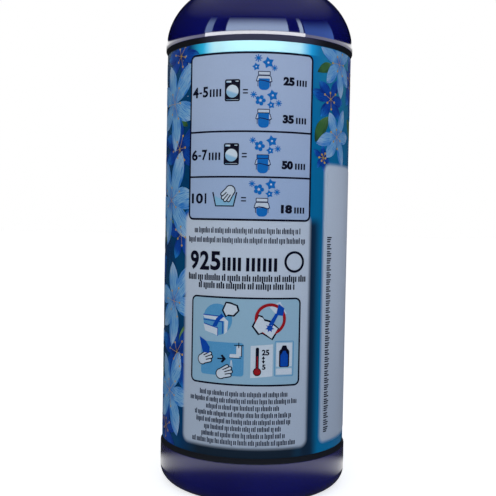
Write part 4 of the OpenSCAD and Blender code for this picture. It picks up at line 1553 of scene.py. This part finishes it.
@dataclass(frozen=True)
class PhotoCamera:
    """The photograph's pinhole camera, as fitted to the label's straight lines and round edges."""

    distance: float = 352.7 * MM
    above_middle: float = 11.91 * MM
    lens: float = 57.68
    sensor: float = 36.0
    yaw: float = 0.55
    pitch: float = -1.94
    roll: float = 1.05

    def build(self, middle: float) -> None:
        """Put the camera up.

        Args:
            middle: Height of the label's middle, in metres.
        """
        turned = Matrix.Identity(3)
        for angle, axis in ((self.roll, "Y"), (-self.pitch, "X"), (-self.yaw, "Z")):
            turned = turned @ Matrix.Rotation(math.radians(angle), 3, axis)
        right, ahead, up = turned.row
        data = bpy.data.cameras.new("photo_camera")
        data.lens = self.lens
        data.sensor_width = self.sensor
        data.clip_start = 0.01
        data.clip_end = 20.0
        camera = bpy.data.objects.new("photo_camera", data)
        bpy.context.scene.collection.objects.link(camera)
        stand = Matrix((right, up, -ahead)).transposed().to_4x4()
        camera.matrix_world = Matrix.Translation((0, -self.distance, middle + self.above_middle)) @ stand
        bpy.context.scene.camera = camera


@dataclass(frozen=True)
class Strip:
    """A curved strip of light round the bottle, placed as the upper bead sees it."""

    low: float
    high: float
    left: float
    right: float
    level: float
    even: float = 0.0
    colour: Colour = WHITE_LIGHT
    distance: float = 1.1
    reach: float = 1.06

    def build(self, name: str, seen_from: float) -> None:
        """Put the strip up where the camera doesn't see it.

        Args:
            name: The strip's name.
            seen_from: Height that its two elevations are measured from, in metres.
        """
        mesh = bmesh.new()
        start = math.radians(self.left)
        foot, top = (seen_from + self.reach * math.tan(math.radians(rise)) for rise in (self.low, self.high))
        spot = (self.distance * math.sin(start), -self.distance * math.cos(start))
        ends = [mesh.verts.new((*spot, height)) for height in (foot, top)]
        swept(mesh, ends + [mesh.edges.new(ends)], self.right - self.left, 48)
        nodes = Nodes(name)
        _, _, height = nodes.split(nodes.place())
        fade = nodes.step(height, top, foot + (top - foot) * self.even)
        nodes.set(Base_Color=(0.02, 0.02, 0.02), Specular_IOR_Level=0.0)
        nodes.set(Emission_Color=self.colour, Emission_Strength=nodes.times(fade, self.level))
        light = placed(mesh, name, nodes.holder)
        light.visible_camera = False


@dataclass(frozen=True)
class Studio:
    """A pale floor, curved strips of light before the bottle and plain light all round."""

    floor_size: float = 6.0
    floor_lift: float = 0.67
    strips: tuple[Strip, ...] = (
        Strip(12.75, 15.5, -67.0, 55.0, 6.4, 0.6),
        Strip(15.5, 40.0, -40.0, 34.0, 3.6, 0.1, (0.6, 0.76, 1.0)),
        Strip(15.5, 40.0, -68.0, -58.0, 1.8, 0.3, (0.5, 0.7, 1.0)),
        Strip(15.5, 40.0, 48.0, 53.0, 3.4, 0.3, (0.7, 0.85, 1.0)),
        Strip(13.8, 36.0, 55.0, 100.0, 1.6, 0.1, (0.16, 0.34, 1.0)),
    )
    around: float = 0.5
    glossy: tuple[tuple[float, float], ...] = (
        (-90.0, 0.03), (-17.6, 0.03), (-17.45, 0.7), (-16.75, 0.7), (-16.6, 0.03), (12.1, 0.03),
        (12.3, 1.1), (13.6, 1.1), (13.8, 0.0), (34.0, 0.01), (55.0, 0.2), (90.0, 0.2),
    )

    def build(self, seen_from: float) -> None:
        """Set the studio up.

        Args:
            seen_from: Height of the upper bead, in metres.
        """
        self._floor()
        for index, strip in enumerate(self.strips):
            strip.build(f"light_strip_{index}", seen_from)
        self._world()

    def _floor(self) -> None:
        """A wide pale floor with a faint grain, which the glossy bottle doesn't mirror."""
        mesh = bmesh.new()
        bmesh.ops.create_grid(mesh, x_segments=1, y_segments=1, size=self.floor_size)
        nodes = Nodes("studio_floor")
        tone = nodes.ramp(nodes.noise(60.0, 3.0), [(0.3, (0.8, 0.8, 0.8)), (0.7, (0.84, 0.84, 0.84))])
        seen = nodes.new("ShaderNodeLightPath").outputs["Is Camera Ray"]
        nodes.set(Base_Color=tone, Roughness=0.6, Emission_Color=WHITE_LIGHT)
        nodes.set(Emission_Strength=nodes.times(seen, self.floor_lift))
        floor = placed(mesh, "studio_floor", nodes.holder)
        floor.visible_glossy = False

    def _world(self) -> None:
        """White for the camera, plain light for diffuse rays, and thin bright bands for glossy ones."""
        nodes = Nodes("studio", world=True)
        bpy.context.scene.world = nodes.holder
        rays = nodes.new("ShaderNodeLightPath").outputs
        _, _, rise = nodes.split(nodes.place("Generated"))
        stops = [((1 + math.sin(math.radians(angle))) / 2, (level,) * 3) for angle, level in self.glossy]
        bands = nodes.ramp(nodes.maths("MULTIPLY_ADD", rise, 0.5, 0.5), stops)
        level = nodes.mix(rays["Is Glossy Ray"], (self.around,) * 3, bands)
        seen = nodes.maths("MAXIMUM", rays["Is Camera Ray"], rays["Is Transmission Ray"])
        nodes.set(Color=WHITE_LIGHT, Strength=nodes.maths("MAXIMUM", seen, level))


class Closure:
    """The cap, the spout and the seal: the solids themselves with a finish, and the ridges of the thread."""

    plastics: dict[str, MouldedPlastic] = {
        "measuring_cap": MouldedPlastic(
            "cap_plastic", screen(120, 176, 226), screen(132, 186, 232), 0.16, 0.5, 0.5, 0.4),
        "pour_spout": MouldedPlastic(
            "spout_plastic", screen(226, 232, 238), screen(234, 238, 242), 0.35, 0.0, 0.5, 0.3),
        "cap_seal": MouldedPlastic(
            "seal_foam", screen(232, 232, 226), screen(222, 222, 216), 0.7, 0.0, 0.3),
    }
    cap_thread: ThreadRidges = ThreadRidges(18.9, 0.75, 219.0)
    spout_thread: ThreadRidges = ThreadRidges(20.05, -0.75, 217.0)

    def build(self) -> None:
        """Dress the three solids and add the ridges."""
        looks = {node: plastic.material() for node, plastic in self.plastics.items()}
        for node, look in looks.items():
            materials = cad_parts[node].data.materials
            materials.clear()
            materials.append(look)
        self.cap_thread.build("cap_thread", looks["measuring_cap"], "cap_blue", Body.CAP)
        self.spout_thread.build("spout_thread", looks["pour_spout"], "spout_white", Body.CONTAINER)


def main() -> None:
    """Build the bottle, its label and its print, the cap and spout, then the studio."""
    logging.basicConfig(level=logging.INFO, format="%(name)s: %(message)s")
    low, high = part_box("label")
    space = LabelSpace(high.x, (low.z + high.z) / 2)
    PhotoCamera().build(space.middle)
    looks = Inks().mixed(space)
    BlownBottle().build(BottlePlastic("bottle_plastic").material(space))
    WrappedLabel(space.radius, low.z, high.z).build(looks["film"])
    press = Press(Wrap(space.radius, space.middle, (high.z - low.z) / 2 - END_GAP))
    for design in (Flora(), TextPanel(), DoseTable(), PictureBox()):
        design.lay(press)
    press.finish(looks)
    Closure().build()
    Studio().build(high.z + 3 * MM)
    bpy.context.scene.view_settings.view_transform = "Standard"


if __name__ == "__main__":
    main()
